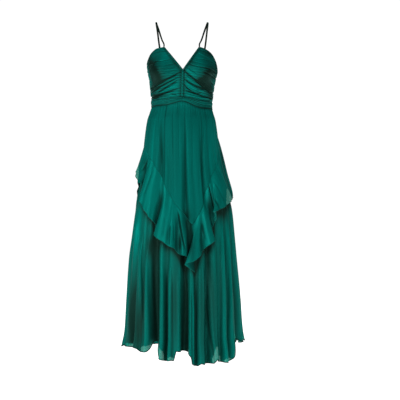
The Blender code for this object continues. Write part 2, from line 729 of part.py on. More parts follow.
def build():
    clear_scene()
    gown = bpy.data.collections.new("evening_gown")
    bpy.context.scene.collection.children.link(gown)
    satin = material("satin chiffon", GREEN, 0.45)
    ruched = material("ruched satin chiffon", DARK_GREEN, 0.45)
    dark_band = material("strap satin", STRAP_GREEN, 0.50)
    enamel = material("enamelled metal", METAL, 0.35, 0.6)

    for side, word in ((-1, "left"), (1, "right")):
        cup(side, f"cup_{word}", ruched, gown)
        neck_binding(side, f"neck_binding_{word}", ruched, gown)
        waistband(side, f"waistband_{word}", ruched, gown)
        back_panel(side, f"back_{word}", ruched, gown)
        strap(side, f"strap_{word}", dark_band, gown)
    centre_gather("centre_gather", ruched, gown)
    zip_tape("zip_tape", ruched, gown)
    zip_slider("zip_slider", enamel, gown)

    upper_skirt(-90, 90, "upper_skirt_front", satin, gown)
    upper_skirt(-180, -90, "upper_skirt_back_left", satin, gown)
    upper_skirt(90, 180, "upper_skirt_back_right", satin, gown)
    lower_skirt_panel(-90, 90, "lower_skirt_front", satin, gown)
    lower_skirt_panel(90, 270, "lower_skirt_back", satin, gown)
    flounce(FLOUNCE_FRONT_LEFT, 2, "flounce_front_left", satin, gown)
    flounce(FLOUNCE_FRONT_RIGHT, 2, "flounce_front_right", satin, gown)
    flounce(back_turns(-1, SIDE_LEFT), 3, "flounce_back_left", satin, gown)
    flounce(back_turns(1, SIDE_RIGHT), 3, "flounce_back_right", satin, gown)


build()
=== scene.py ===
import math
from collections import namedtuple

import bpy
import numpy as np
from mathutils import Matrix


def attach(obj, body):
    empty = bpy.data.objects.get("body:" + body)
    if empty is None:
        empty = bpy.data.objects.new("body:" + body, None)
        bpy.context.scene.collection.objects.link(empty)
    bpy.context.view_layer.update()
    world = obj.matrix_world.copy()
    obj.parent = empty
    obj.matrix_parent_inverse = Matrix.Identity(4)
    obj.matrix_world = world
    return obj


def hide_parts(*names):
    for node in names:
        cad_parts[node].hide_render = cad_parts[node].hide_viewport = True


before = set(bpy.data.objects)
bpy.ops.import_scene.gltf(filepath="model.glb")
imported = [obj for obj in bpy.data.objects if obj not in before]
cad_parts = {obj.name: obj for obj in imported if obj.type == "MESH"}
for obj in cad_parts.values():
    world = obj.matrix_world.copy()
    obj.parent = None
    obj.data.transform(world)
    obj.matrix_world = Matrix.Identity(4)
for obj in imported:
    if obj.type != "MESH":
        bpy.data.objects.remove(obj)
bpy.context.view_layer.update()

# ---------------------------------------------------------------- room, camera and lights
# The gown hangs just above a plain white studio floor, filled out as it is when worn. The camera
# looks straight at its front. A large soft light stands in front on the left, a weak one opposite
# it and a third behind.
CAMERA_PLACE = (0.072, -4.0, -0.71)
FLOOR_HEIGHT = -1.44
FLOOR_REACH = 9

camera_lens = bpy.data.cameras.new("camera")
camera_lens.lens = 90
camera_lens.sensor_width = 36
camera = bpy.data.objects.new("camera", camera_lens)
camera.location = CAMERA_PLACE
camera.rotation_euler = (math.pi / 2, 0, 0)
bpy.context.scene.collection.objects.link(camera)
bpy.context.scene.camera = camera
bpy.context.scene.view_settings.view_transform = "Standard"


def soft_light(name, place, aim, size, watts):
    """A large soft studio light that faces a point."""
    lamp = bpy.data.lights.new(name, "AREA")
    lamp.shape = "DISK"
    lamp.size = size
    lamp.energy = watts
    thing = bpy.data.objects.new(name, lamp)
    thing.location = place
    ahead = np.array(aim, float) - np.array(place, float)
    tilt = math.atan2(math.hypot(ahead[0], ahead[1]), -ahead[2])
    thing.rotation_euler = (tilt, 0, math.atan2(ahead[1], ahead[0]) - math.pi / 2)
    bpy.context.scene.collection.objects.link(thing)


soft_light("key_light", (-2.4, -3.1, 0.8), (0, 0, -0.7), 2.2, 76)
soft_light("fill_light", (2.3, -3.1, 0.2), (0, 0, -0.7), 1.6, 17)
soft_light("back_light", (0.6, 3.8, 1.2), (0, 0, -0.7), 1.4, 60)


def set_inputs(tree, node, values):
    """Sets a node's inputs, or joins them to the outputs of other nodes."""
    for socket, value in values.items():
        if isinstance(value, bpy.types.NodeSocket):
            tree.links.new(value, node.inputs[socket])
        else:
            node.inputs[socket].default_value = value
    return node


def add_node(tree, kind, values=None, **settings):
    """Adds a node with its settings and inputs."""
    node = tree.nodes.new(kind)
    for name, value in settings.items():
        setattr(node, name, value)
    return set_inputs(tree, node, values or {})


WHITE = (1, 1, 1, 1)
room = bpy.data.worlds.new("white_studio")
room.use_nodes = True
sky = set_inputs(room.node_tree, room.node_tree.nodes["Background"], {
    "Color": WHITE, "Strength": 0.08})
bright_sky = add_node(room.node_tree, "ShaderNodeBackground", {"Color": WHITE, "Strength": 1.05})
seen = add_node(room.node_tree, "ShaderNodeLightPath")
choice = add_node(room.node_tree, "ShaderNodeMixShader", {
    0: seen.outputs["Is Camera Ray"], 1: sky.outputs[0], 2: bright_sky.outputs[0]})
set_inputs(room.node_tree, room.node_tree.nodes["World Output"], {0: choice.outputs[0]})
bpy.context.scene.world = room


def new_material(name, values):
    """A material whose shader has the given values."""
    made = bpy.data.materials.new(name)
    made.use_nodes = True
    set_inputs(made.node_tree, made.node_tree.nodes["Principled BSDF"], values)
    return made


floor_mesh = bpy.data.meshes.new("floor")
corners = [(-FLOOR_REACH, -FLOOR_REACH), (FLOOR_REACH, -FLOOR_REACH),
           (FLOOR_REACH, FLOOR_REACH), (-FLOOR_REACH, FLOOR_REACH)]
floor_mesh.from_pydata([(x, y, FLOOR_HEIGHT) for x, y in corners], [], [(0, 1, 2, 3)])
floor = bpy.data.objects.new("floor", floor_mesh)
bpy.context.scene.collection.objects.link(floor)
floor_mesh.materials.append(new_material("floor paint", {
    "Base Color": (0.93, 0.93, 0.92, 1), "Roughness": 0.9, "Emission Color": WHITE,
    "Emission Strength": 0.95}))

# ---------------------------------------------------------------- long lower tier
# The long lower tier is two wide panels of satin chiffon joined at the sides and gathered by hand
# into uneven long folds. It hangs free to an uneven rolled hem, which is a little sheer where one
# layer hangs clear of the others, and is painted lighter there, as painted light shining through.
Girth = namedtuple("Girth", "height left right front back")


def in_metres(kind, lengths, rows):
    """The records of a table whose lengths are written in millimetres."""
    lengths = lengths.split()
    return [kind(*(value / 1000 if field in lengths else value
                   for field, value in zip(kind._fields, row))) for row in rows]


GIRTHS = in_metres(Girth, "height left right front back", [
    (-1420, 250, 262, 230, 232), (-1300, 243, 256, 222, 224), (-1234, 232, 245, 214, 218),
    (-1110, 225, 237, 204, 208), (-934, 213, 220, 190, 196), (-870, 204, 214, 184, 190),
    (-755, 188, 203, 172, 180), (-674, 174, 184, 162, 170), (-600, 162, 164, 152, 160),
    (-488, 152, 147, 134, 143), (-435, 146, 141, 121, 128), (-392, 139, 134, 106, 110),
    (-360, 128, 124, 94, 94), (-335, 121, 119, 88, 87), (-300, 125, 125, 90, 88),
    (-267, 128, 129, 94, 91), (-225, 133, 137, 98, 96), (-198, 139, 143, 96, 97),
    (-170, 141, 140, 93, 96), (-135, 132, 130, 88, 93), (-100, 116, 114, 80, 90),
])

Valley = namedtuple("Valley", "waist_angle hem_angle half_width at_v at_hem")
VALLEYS = in_metres(Valley, "at_v at_hem", [
    (-78, -76, 7, 5, 22), (-60, -59, 7.5, 8, 36), (-46, -43, 4.5, 4, 15), (-31, -29, 8.5, 14, 62),
    (-16, -15, 5, 4, 30), (6, 3, 5.5, 13, 46), (18, 14, 4.5, 3, 20), (33, 25, 5, 12, 34),
    (46, 38, 4.5, 4, 20), (60, 50, 5, 5, 24), (72, 65, 6.5, 6, 42), (84, 81, 6.5, 4, 26),
    (101, 99, 6, 6, 24), (114, 112, 7, 8, 38), (127, 126, 5, 4, 22), (141, 140, 7, 11, 48),
    (155, 153, 5, 4, 22), (168, 165, 6, 7, 36), (-170, -172, 5, 6, 26), (-158, -160, 6.5, 9, 44),
    (-145, -147, 5, 4, 24), (-132, -134, 6.5, 9, 38), (-119, -120, 5, 4, 22),
    (-106, -106, 6.5, 7, 34), (-93, -92, 5.5, 4, 20),
])

Edge = namedtuple("Edge", "angle height")
V_SEAM = in_metres(Edge, "height", [
    (-180, -735), (-150, -665), (-120, -565), (-98, -497), (-84, -497), (-51, -548), (-28, -626),
    (-20, -664), (-8, -722), (4, -766), (12, -802), (19, -768), (24, -738), (33, -668), (47, -609),
    (72, -530), (88, -468), (100, -452), (120, -535), (150, -655), (180, -735),
])
HEM = in_metres(Edge, "height", [
    (-180, -1300), (-150, -1312), (-120, -1292), (-90, -1290), (-66, -1282), (-56, -1281),
    (-47, -1279), (-43, -1293), (-36, -1294), (-34, -1282), (-31.5, -1252), (-27, -1252),
    (-22.5, -1312), (-14, -1320), (-7, -1320), (-4, -1280), (1, -1286), (8, -1296), (10, -1328),
    (15, -1343), (18, -1331), (29, -1335), (32.5, -1319), (38, -1327), (48, -1338), (54, -1314),
    (57, -1250), (67, -1246), (71, -1265), (80, -1272), (90, -1268), (120, -1290), (150, -1316),
    (180, -1300),
])
WAIST_HEIGHT = -0.335
V_HEIGHT = -0.75
HEM_HEIGHT = -1.30
TIER_INSET = 0.0018
TIER_DROP = 0.0010
CLOTH_WALL = 0.0004
FINE_HEM = 0.052
HEM_WAVE = 0.0028
HEM_ROLL = 0.0016
HEM_FLUTE = 0.0022
FLUTE_REACH = 0.10
SEAM_CALM = 0.05
PAST_HEM = -1.38
CREASE_ENDS = 0.25
NEAR_ANGLE = 0.5
NEAR_HEIGHT = 0.005
TIER_RADIUS = 0.21
TIER_COLUMNS = 361
TIER_ROWS = 60
HEM_ROWS = 23

# Smaller creases between the long folds: a trough where the depth is above zero, a ridge below.
Crease = namedtuple("Crease", "top_angle foot_angle top foot half_width depth")
TIER_CREASES = in_metres(Crease, "top foot depth", [
    (-75.2, -54.3, -809, -1400, 8.3, 5), (-88, -54.8, -654, -951, 7.9, -4.5),
    (-58.1, -48.6, -710, -904, 4, 3), (-47.7, -40.5, -950, -1400, 3.6, -5.5),
    (-51.6, -36.1, -729, -1400, 2.2, 4.5), (-40, -33, -864, -1400, 2.8, -5.5),
    (-33, -28.5, -887, -1400, 2.3, 3), (-25.1, -22.2, -947, -1400, 2.2, 5),
    (-19.5, -17.6, -947, -1400, 2.6, -6), (-15, -13.9, -947, -1400, 1.6, 5),
    (-13.2, -11, -931, -1400, 2, -5), (-9.4, -7.6, -946, -1400, 1.5, 4.5),
    (-3.1, -0.9, -969, -1400, 2.4, -3), (0.9, 1.8, -946, -1400, 1.4, 2.5),
    (5.1, 5, -984, -1400, 1.8, 6), (8.8, 8.1, -1014, -1400, 1.6, -5.5),
    (10.7, 9.7, -1033, -1400, 1.2, 3.5), (12.1, 11.1, -1052, -1400, 1.2, -3.5),
    (14.7, 13.2, -977, -1400, 1.5, 5.5), (18.6, 15.3, -932, -1400, 2.4, -5),
    (23.4, 30.2, -924, -1400, 1.7, 4.2), (26.5, 32.6, -902, -1400, 2.7, -3.5),
    (36.8, 31.7, -764, -1400, 3.5, -2), (46.4, 37.3, -764, -1400, 1.9, 3.5),
    (41.6, 36.5, -764, -1208, 1.5, 2.5), (51.4, 41.2, -757, -1400, 2.4, -4.5),
    (57, 44.9, -757, -1400, 2, 4), (63.5, 49.5, -757, -1400, 3.1, -5),
    (72.3, 60.8, -765, -1236, 3.6, 3), (62.8, 65.9, -953, -1400, 4.1, 6),
    (84.4, 75.4, -766, -1400, 7.8, -3.5), (94, 95.5, -700, -1400, 2.6, 4),
    (98.5, 104, -760, -1260, 2.2, -4.5), (106, 108, -690, -1400, 3.2, -4),
    (110.5, 113, -820, -1400, 1.9, 5), (118, 119.5, -720, -1190, 2.8, -4.5),
    (122, 121, -790, -1400, 1.8, 3.5), (131, 133.5, -760, -1400, 2.4, -5.5),
    (136, 137, -850, -1400, 1.6, 4), (144.5, 147, -800, -1300, 2.6, -4),
    (149, 150.5, -830, -1400, 2, 5), (158.5, 159, -860, -1400, 2.3, -5),
    (163, 162, -900, -1220, 1.7, 3.5), (172.5, 174, -880, -1400, 2.7, -4.5),
    (178, 179.5, -900, -1400, 1.9, 4.5), (-176, -177, -890, -1290, 1.6, -4),
    (-166.5, -167, -850, -1400, 2.5, -5), (-162, -163.5, -840, -1400, 1.7, 3.5),
    (-152.5, -153, -800, -1400, 2.6, -5), (-149, -148, -830, -1180, 1.6, 3.5),
    (-139.5, -141, -760, -1400, 2.5, -4.5), (-136, -137.5, -820, -1400, 1.8, 4.5),
    (-126, -127, -730, -1400, 2.8, -5.5), (-122.5, -123, -780, -1250, 1.7, 3.5),
    (-113, -112.5, -700, -1400, 2.5, -4.5), (-109, -108.5, -740, -1400, 1.8, 4),
    (-100.5, -99, -700, -1400, 2.7, -5), (-96, -95, -760, -1400, 1.9, 3.5),
])

# Sheer places of the hem, each an arch of the given height. They are painted lighter, as painted
# light shining through, and most of their painted shade is taken away.
Patch = namedtuple("Patch", "angle half_width height")
SHEER_PATCHES = in_metres(Patch, "height", [
    (-62, 9, 12), (-38, 5, 22), (-21, 4, 40), (-10, 4, 12), (33, 5.5, 48), (46, 6, 16), (57, 4, 20),
    (82, 6, 20), (112, 7, 20), (146, 6, 30), (-163, 6, 22), (-128, 7, 26), (-104, 5, 16),
])


def read(table, place, rounded=False):
    """Reads a table's columns at many places, by a cubic through its rows. It never overshoots
    them unless it is rounded, which swings freely past a turn, as a fold's edge does."""
    rows = np.array(sorted(table), float)
    at = rows[:, 0]
    place = np.clip(np.asarray(place, float), at[0], at[-1])
    after = np.clip(np.searchsorted(at, place, side="left"), 1, len(at) - 1)
    step = np.diff(rows, axis=0)
    grade = step[:, 1:] / step[:, :1]
    slope = np.zeros((len(at), rows.shape[1] - 1))
    if rounded:
        slope[1:-1] = (rows[2:, 1:] - rows[:-2, 1:]) / (at[2:] - at[:-2])[:, None]
    else:
        product = grade[:-1] * grade[1:]
        total = grade[:-1] + grade[1:]
        rising = product > 0
        slope[1:-1][rising] = 2 * product[rising] / total[rising]
    span = (at[after] - at[after - 1])[..., None]
    t = ((place - at[after - 1]) / (at[after] - at[after - 1]))[..., None]
    low, high = rows[after - 1][..., 1:], rows[after][..., 1:]
    values = (
        (2 * t**3 - 3 * t**2 + 1) * low
        + (t**3 - 2 * t**2 + t) * span * slope[after - 1]
        + (3 * t**2 - 2 * t**3) * high
        + (t**3 - t**2) * span * slope[after]
    )
    return np.moveaxis(values, -1, 0)


def wave(degrees):
    """A wave that swings from -1 to 1."""
    return np.sin(np.radians(degrees))


def uneven(angle, often, swing, slow, start=0):
    """A wave whose turns lie closer in some places than in others."""
    return wave(angle * often + swing * wave(angle * slow + start))


def bell(off):
    """1 in the middle, falling softly to 0 on both sides."""
    return np.exp(-(off**2))


def trough(off):
    """The section of a fold: 1 in its middle and 0 at its two edges, where off is 1."""
    return np.cos(np.minimum(np.abs(off), 1) * math.pi / 2) ** 2


def down_steps(count):
    """Shares from 0 to 1 as a row, for the way down a grid."""
    return np.linspace(0, 1, count)[None, :]


def wrapped(angle):
    """The same direction as an angle from -180 to 180."""
    return (np.asarray(angle, float) + 180) % 360 - 180


def height_of(edge, angle):
    """Height of an edge that runs all round."""
    return read(edge, wrapped(angle))[0]


def eased(share):
    """A share from 0 to 1 with a soft start and end."""
    share = np.clip(share, 0.0, 1.0)
    return share * share * (3 - 2 * share)


def mix(a, b, share):
    return a + (b - a) * share


def figure(angle, height):
    """Points and outward directions of the smooth figure."""
    angle, height = np.broadcast_arrays(np.asarray(angle, float), np.asarray(height, float))
    left, right, front, back = read(GIRTHS, height)
    turned = np.radians(angle)
    across, ahead = np.sin(turned), np.cos(turned)
    half = np.where(across > 0, right, left)
    deep = np.where(ahead > 0, front, back)
    outward = np.stack([across / half, -ahead / deep, np.zeros_like(half)], -1)
    outward /= np.linalg.norm(outward, axis=-1, keepdims=True)
    return np.stack([half * across, -deep * ahead, height], -1), outward


def valley_depth(angle, height):
    """Depth of the skirt's long folds."""
    fallen = (WAIST_HEIGHT - height) / (WAIST_HEIGHT - HEM_HEIGHT)
    upper = eased((WAIST_HEIGHT - height) / (WAIST_HEIGHT - V_HEIGHT))
    lower = np.clip((V_HEIGHT - height) / (V_HEIGHT - HEM_HEIGHT), 0.0, 1.0) ** 1.1
    total = np.zeros(np.broadcast(angle, height).shape)
    for valley in VALLEYS:
        middle = mix(valley.waist_angle, valley.hem_angle, fallen)
        depth = valley.at_v * upper + (valley.at_hem - valley.at_v) * lower
        total = total + depth * trough(wrapped(angle - middle) / valley.half_width)
    return total


def skirt(angle, height, raised=0.0, folded=1.0):
    """Points on the skirt. Folded is the share of its folds' depth, and raised moves it out."""
    point, outward = figure(angle, height)
    return point + outward * (raised - folded * valley_depth(angle, height))[..., None]


def crease_depth(creases, angle, height):
    """Depth of the small creases, which run out softly at both ends unless an end is past a hem."""
    total = np.zeros(np.broadcast(angle, height).shape)
    for crease in creases:
        down = (crease.top - height) / (crease.top - crease.foot)
        middle = mix(crease.top_angle, crease.foot_angle, np.clip(down, 0, 1))
        lasting = eased(down / CREASE_ENDS)
        if crease.foot > PAST_HEM:
            lasting = lasting * eased((1 - down) / CREASE_ENDS)
        off = wrapped(angle - middle) / crease.half_width
        total = total + crease.depth * lasting * trough(off)
    return total


def ranged(tree, value, low, high, least, most):
    """A value's range from low to high, moved to a range from least to most."""
    return add_node(tree, "ShaderNodeMapRange",
                    {0: value, 1: low, 2: high, 3: least, 4: most}).outputs[0]


def blended(tree, factor, low, high):
    """Two colours mixed by a factor, which may go past them."""
    return add_node(tree, "ShaderNodeMix", {0: factor, 6: low, 7: high}, data_type="RGBA",
                    clamp_factor=False).outputs[2]


def toned(colour, share):
    """The same colour, darker or lighter."""
    return (*(min(part * share, 1) for part in colour[:3]), 1)


def cloth_material(name, bright, deep, roughness, sheen, crinkle, alpha=1.0):
    """Satin chiffon. Shade is painted into its colour: where the shade attribute is high it sinks
    towards deep, the dark green of painted shade in folds, and below zero it is painted lighter
    than bright. Fine lengthwise crinkles and the weave are in its bump. UVs are in metres, with V
    along the fabric's folds."""
    made = new_material(name, {
        "Metallic": 0.35, "Alpha": alpha, "Sheen Weight": sheen, "Sheen Roughness": 0.35,
        "Sheen Tint": (0.02, 0.75, 0.60, 1), "Specular IOR Level": 0.05,
        "Specular Tint": (0.2, 1.0, 0.9, 1)})
    tree = made.node_tree
    place = add_node(tree, "ShaderNodeUVMap", uv_map="cloth").outputs["UV"]

    def stretched(across, along, detail):
        mapping = add_node(tree, "ShaderNodeMapping", {
            "Scale": (across, along, 1), "Vector": place})
        return add_node(tree, "ShaderNodeTexNoise", {
            "Scale": 1.0, "Detail": detail, "Vector": mapping.outputs["Vector"]}).outputs["Fac"]

    streaks = stretched(55, 3.0, 3)
    clouds = stretched(9, 2.2, 2)
    ground = blended(tree, ranged(tree, streaks, 0.30, 0.70, 0, 1), toned(bright, 0.96), bright)
    ground = blended(tree, ranged(tree, clouds, 0.45, 0.75, 0, 0.6), ground, toned(bright, 1.08))
    shade = add_node(tree, "ShaderNodeAttribute", attribute_name="shade").outputs["Fac"]
    folds = add_node(tree, "ShaderNodeBump", {
        "Strength": crinkle, "Distance": 0.0008, "Height": stretched(130, 7, 2)})
    threads = [add_node(tree, "ShaderNodeTexWave", {"Scale": 380, "Vector": place},
                        bands_direction=direction).outputs["Fac"] for direction in ("X", "Y")]
    woven = add_node(tree, "ShaderNodeMath", {0: threads[0], 1: threads[1]}, operation="MULTIPLY")
    weave = add_node(tree, "ShaderNodeBump", {
        "Strength": 0.10, "Distance": 0.0002, "Height": woven.outputs[0],
        "Normal": folds.outputs["Normal"]})
    set_inputs(tree, tree.nodes["Principled BSDF"], {
        "Base Color": blended(tree, shade, ground, deep),
        "Roughness": ranged(tree, streaks, 0.3, 0.7, roughness - 0.02, roughness + 0.03),
        "Normal": weave.outputs["Normal"]})
    return made


# The chiffon's own green, and the dark green of the painted shade in its folds.
GREEN = (0.0008, 0.175, 0.142, 1)
SHADE_GREEN = (0.009, 0.024, 0.017, 1)
# Painted light: the sheer places really are see-through, and their lighter green is painted light
# shining through them.
SHEER_LIT_GREEN = (0.014, 0.330, 0.250, 1)
skirt_satin = cloth_material("skirt satin chiffon", GREEN, SHADE_GREEN, 0.46, 0.10, 0.10)
sheer_hem = cloth_material("sheer hem chiffon", SHEER_LIT_GREEN, SHADE_GREEN, 0.46, 0.10, 0.08, 0.82)
# The painted shade on cloth runs from a little painted light, below zero, to nearly the full dark
# colour.
BRIGHTEST, DARKEST = -0.3, 0.97


def cloth(name, grid, across, along, shade, finishes, sheer=None, wall=CLOTH_WALL):
    """A sheet of cloth from a grid of points, columns by rows, with its thin wall on the inside.
    Across and along are its places on the fabric in metres; shade is the painted shade at each
    point, painted light where it is below zero, and sheer marks the faces that have the second
    finish."""
    columns, rows = grid.shape[:2]
    number = np.arange(columns * rows).reshape(columns, rows)
    faces = np.stack([number[:-1, :-1], number[:-1, 1:], number[1:, 1:], number[1:, :-1]], -1)
    faces = faces.reshape(-1, 4)
    mesh = bpy.data.meshes.new(name)
    mesh.from_pydata(grid.reshape(-1, 3).tolist(), [], faces.tolist())
    mesh.shade_smooth()
    layer = mesh.uv_layers.new(name="cloth")
    spots = np.stack(np.broadcast_arrays(across, along), -1).reshape(-1, 2)
    layer.data.foreach_set("uv", spots[faces.reshape(-1)].reshape(-1))
    dark = mesh.attributes.new("shade", "FLOAT", "POINT")
    shade = np.clip(np.broadcast_to(shade, (columns, rows)), BRIGHTEST, DARKEST)
    dark.data.foreach_set("value", shade.reshape(-1))
    for finish in finishes:
        mesh.materials.append(finish)
    if sheer is not None:
        marks = np.broadcast_to(sheer, (columns - 1, rows - 1)).astype(np.int32).reshape(-1)
        mesh.polygons.foreach_set("material_index", marks)
    piece = bpy.data.objects.new(name, mesh)
    bpy.context.scene.collection.objects.link(piece)
    thickness = piece.modifiers.new("cloth wall", "SOLIDIFY")
    thickness.thickness = wall
    thickness.offset = -1
    return piece


def fitted(piece, nodes):
    """Hangs a piece of cloth in place of its plain node."""
    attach(piece, "root")
    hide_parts(*nodes)


def line_tree(name, sizes, along_line):
    """Geometry nodes that make something along a line of points, to the sizes and in the finish
    they are given. It ends as plain geometry."""
    tree = bpy.data.node_groups.new(name, "GeometryNodeTree")
    tree.is_modifier = True
    sockets = [("Line", "Geometry"), *((size, "Float") for size in sizes), ("Finish", "Material")]
    for socket, kind in sockets:
        tree.interface.new_socket(socket, in_out="INPUT", socket_type="NodeSocket" + kind)
    tree.interface.new_socket("Result", in_out="OUTPUT", socket_type="NodeSocketGeometry")
    given = add_node(tree, "NodeGroupInput").outputs
    line = add_node(tree, "GeometryNodeMeshToCurve", {"Mesh": given["Line"]}).outputs["Curve"]
    real = add_node(tree, "GeometryNodeRealizeInstances", {
        "Geometry": along_line(tree, given, line)})
    paint = add_node(tree, "GeometryNodeSetMaterial", {
        "Geometry": real.outputs["Geometry"], "Material": given["Finish"]})
    add_node(tree, "NodeGroupOutput", {"Result": paint.outputs["Geometry"]})
    return tree


def round_roll(tree, given, line):
    """A thin round roll of cloth along the line."""
    circle = add_node(tree, "GeometryNodeCurvePrimitiveCircle", {
        "Resolution": 7, "Radius": given["Radius"]})
    sweep = add_node(tree, "GeometryNodeCurveToMesh", {
        "Curve": line, "Profile Curve": circle.outputs["Curve"], "Fill Caps": True})
    return add_node(tree, "GeometryNodeSetShadeSmooth", {
        "Geometry": sweep.outputs["Mesh"]}).outputs["Geometry"]


def short_rods(tree, given, line):
    """Short round rods set along the line, as stitches or zip coils."""
    spots = add_node(tree, "GeometryNodeCurveToPoints", {
        "Curve": line, "Length": given["Spacing"]}, mode="LENGTH").outputs
    half = add_node(tree, "ShaderNodeMath", {0: given["Thickness"], 1: 0.5}, operation="MULTIPLY")
    rod = add_node(tree, "GeometryNodeMeshCylinder", {
        "Vertices": 6, "Radius": half.outputs[0], "Depth": given["Length"]})
    return add_node(tree, "GeometryNodeInstanceOnPoints", {
        "Points": spots["Points"], "Rotation": spots["Rotation"],
        "Instance": rod.outputs["Mesh"]}).outputs["Instances"]


def trim(piece):
    """A small sewn-on piece."""
    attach(piece, "root")
    return piece


def grown(name, lines, tree, values):
    """A trim made by a geometry nodes tree along lines of points, kept as a plain mesh."""
    points, edges = [], []
    for line in lines:
        start = len(points)
        points += np.asarray(line, float).tolist()
        edges += [(start + i, start + i + 1) for i in range(len(line) - 1)]
    mesh = bpy.data.meshes.new(name)
    mesh.from_pydata(points, edges, [])
    source = bpy.data.objects.new(name + "_line", mesh)
    bpy.context.scene.collection.objects.link(source)
    modifier = source.modifiers.new("grown", "NODES")
    modifier.node_group = tree
    for item in tree.interface.items_tree:
        if item.in_out == "INPUT" and item.name in values:
            modifier[item.identifier] = values[item.name]
    seen_from = bpy.context.evaluated_depsgraph_get()
    result = bpy.data.meshes.new_from_object(source.evaluated_get(seen_from))
    result.name = name
    bpy.data.objects.remove(source)
    piece = bpy.data.objects.new(name, result)
    bpy.context.scene.collection.objects.link(piece)
    return trim(piece)


def thread_material(name, colour, roughness, scale, metallic=0.0):
    """A plain dark thread, tape or rolled edge, with a fine twist in its bump."""
    made = new_material(name, {"Metallic": metallic, "Specular IOR Level": 0.10})
    tree = made.node_tree
    place = add_node(tree, "ShaderNodeTexCoord").outputs["Object"]
    noise = add_node(tree, "ShaderNodeTexNoise", {
        "Scale": scale, "Detail": 3, "Vector": place}).outputs["Fac"]
    bump = add_node(tree, "ShaderNodeBump", {"Strength": 0.25, "Distance": 0.0003, "Height": noise})
    twist = ranged(tree, noise, 0.3, 0.7, 0.0, 1.0)
    set_inputs(tree, tree.nodes["Principled BSDF"], {
        "Base Color": blended(tree, twist, toned(colour, 0.65), colour),
        "Roughness": ranged(tree, noise, 0.3, 0.7, roughness - 0.08, roughness + 0.08),
        "Normal": bump.outputs["Normal"]})
    return made


hem_edge = thread_material("rolled hem edge", (0.001, 0.040, 0.030, 1), 0.60, 900)
roll = line_tree("rolled edge", ["Radius"], round_roll)
row = line_tree("row of stitches", ["Spacing", "Length", "Thickness"], short_rods)

# Wide places of painted shade, where the cloth turns away from the light or lies behind others.
# An amount below zero is painted light, where the cloth faces the light.
Shading = namedtuple("Shading", "angle height half_width half_height amount")
TIER_SHADING = in_metres(Shading, "height half_height", [
    (-61, -820, 5, 120, -0.5), (84, -950, 10, 160, -0.1), (-56, -1190, 6.5, 180, 0.72),
    (-67, -1200, 5, 180, 0.55), (-76, -1190, 4.5, 170, 0.55), (-87, -1220, 5, 140, 0.4),
    (-46, -1200, 5, 150, 0.74), (-36, -885, 6, 50, 0.7), (10, -800, 6, 50, 0.5),
    (54, -765, 14, 35, 0.5), (65, -1140, 9, 180, 0.42), (32, -1100, 6, 220, 0.48),
    (19, -1120, 4, 220, 0.38), (-5.5, -1080, 4.5, 180, 0.4), (0, -1140, 45, 220, 0.25),
    (-40, -1050, 4, 200, 0.2), (-25.5, -1080, 2.2, 200, 0.35), (0.8, -1080, 2, 160, -0.35),
    (46, -1050, 5, 200, 0.15), (26.2, -1170, 2.2, 160, -0.5), (39, -1170, 2.6, 160, -0.3),
    (12.5, -1170, 2, 160, -0.3),
])

# The flounce's free edge, under which a shadow is painted on the tier.
UNDER_FLOUNCE = in_metres(Edge, "height", [
    (-180, -923), (-150, -850), (-120, -735), (-100, -650), (-92, -640), (-80, -700), (-68, -703),
    (-62.4, -720), (-47.8, -755), (-39, -779), (-36, -787), (-33, -838), (-30, -848), (-18, -873),
    (-10.6, -888), (-5, -905), (2, -950), (9, -955), (13.4, -984), (18.5, -927), (26.6, -889),
    (32.6, -877), (37, -864), (39, -800), (42, -755), (56, -741), (70, -726), (84, -718),
    (96, -700), (120, -730), (150, -850), (180, -923),
])
# How far the painted shadow reaches below the flounce's edge, how dark it is, and where it is
# weaker.
SHADOW_FALL = 0.022
SHADOW = 1.1
SHADOW_SIDE = -84
SHADOW_SIDE_WIDTH = 12
SHADOW_SIDE_LOSS = 0.8
# Painted shade in the tier's long folds and creases: how dark the deepest folds are painted, and
# the depths at which folds and creases are painted fully dark.
FOLD_SHADE = 0.84
FOLD_DARKEST = 0.90
DARK_DEPTH_TOP = 0.010
DARK_DEPTH_FOOT = 0.033
CREASE_DARK_DEPTH = 0.014


def painted_light_and_shade(tones, angle, height):
    """Sum of the wide painted light and painted shade of a table."""
    total = np.zeros(np.broadcast(angle, height).shape)
    for tone in tones:
        aside = wrapped(angle - tone.angle) / tone.half_width
        above = (height - tone.height) / tone.half_height
        total = total + tone.amount * np.exp(-(aside**2) - above**2)
    return total


def tier_shade(angle, height):
    """The painted shade of the skirt's cloth, darker the deeper in a fold it lies, with the painted
    light and shade of the table.
    """
    low = np.clip((V_HEIGHT - height) / (V_HEIGHT - HEM_HEIGHT), 0, 1)
    reach = mix(DARK_DEPTH_TOP, DARK_DEPTH_FOOT, low)
    shade = FOLD_SHADE - FOLD_SHADE * np.exp(-((valley_depth(angle, height) / reach) ** 1.5))
    return shade + painted_light_and_shade(TIER_SHADING, angle, height)


def arch_height(patch, angle):
    """How high a sheer place reaches above the free edge."""
    spread = 1 - (wrapped(angle - patch.angle) / patch.half_width) ** 2
    return patch.height * np.sqrt(np.clip(spread, 0, 1))


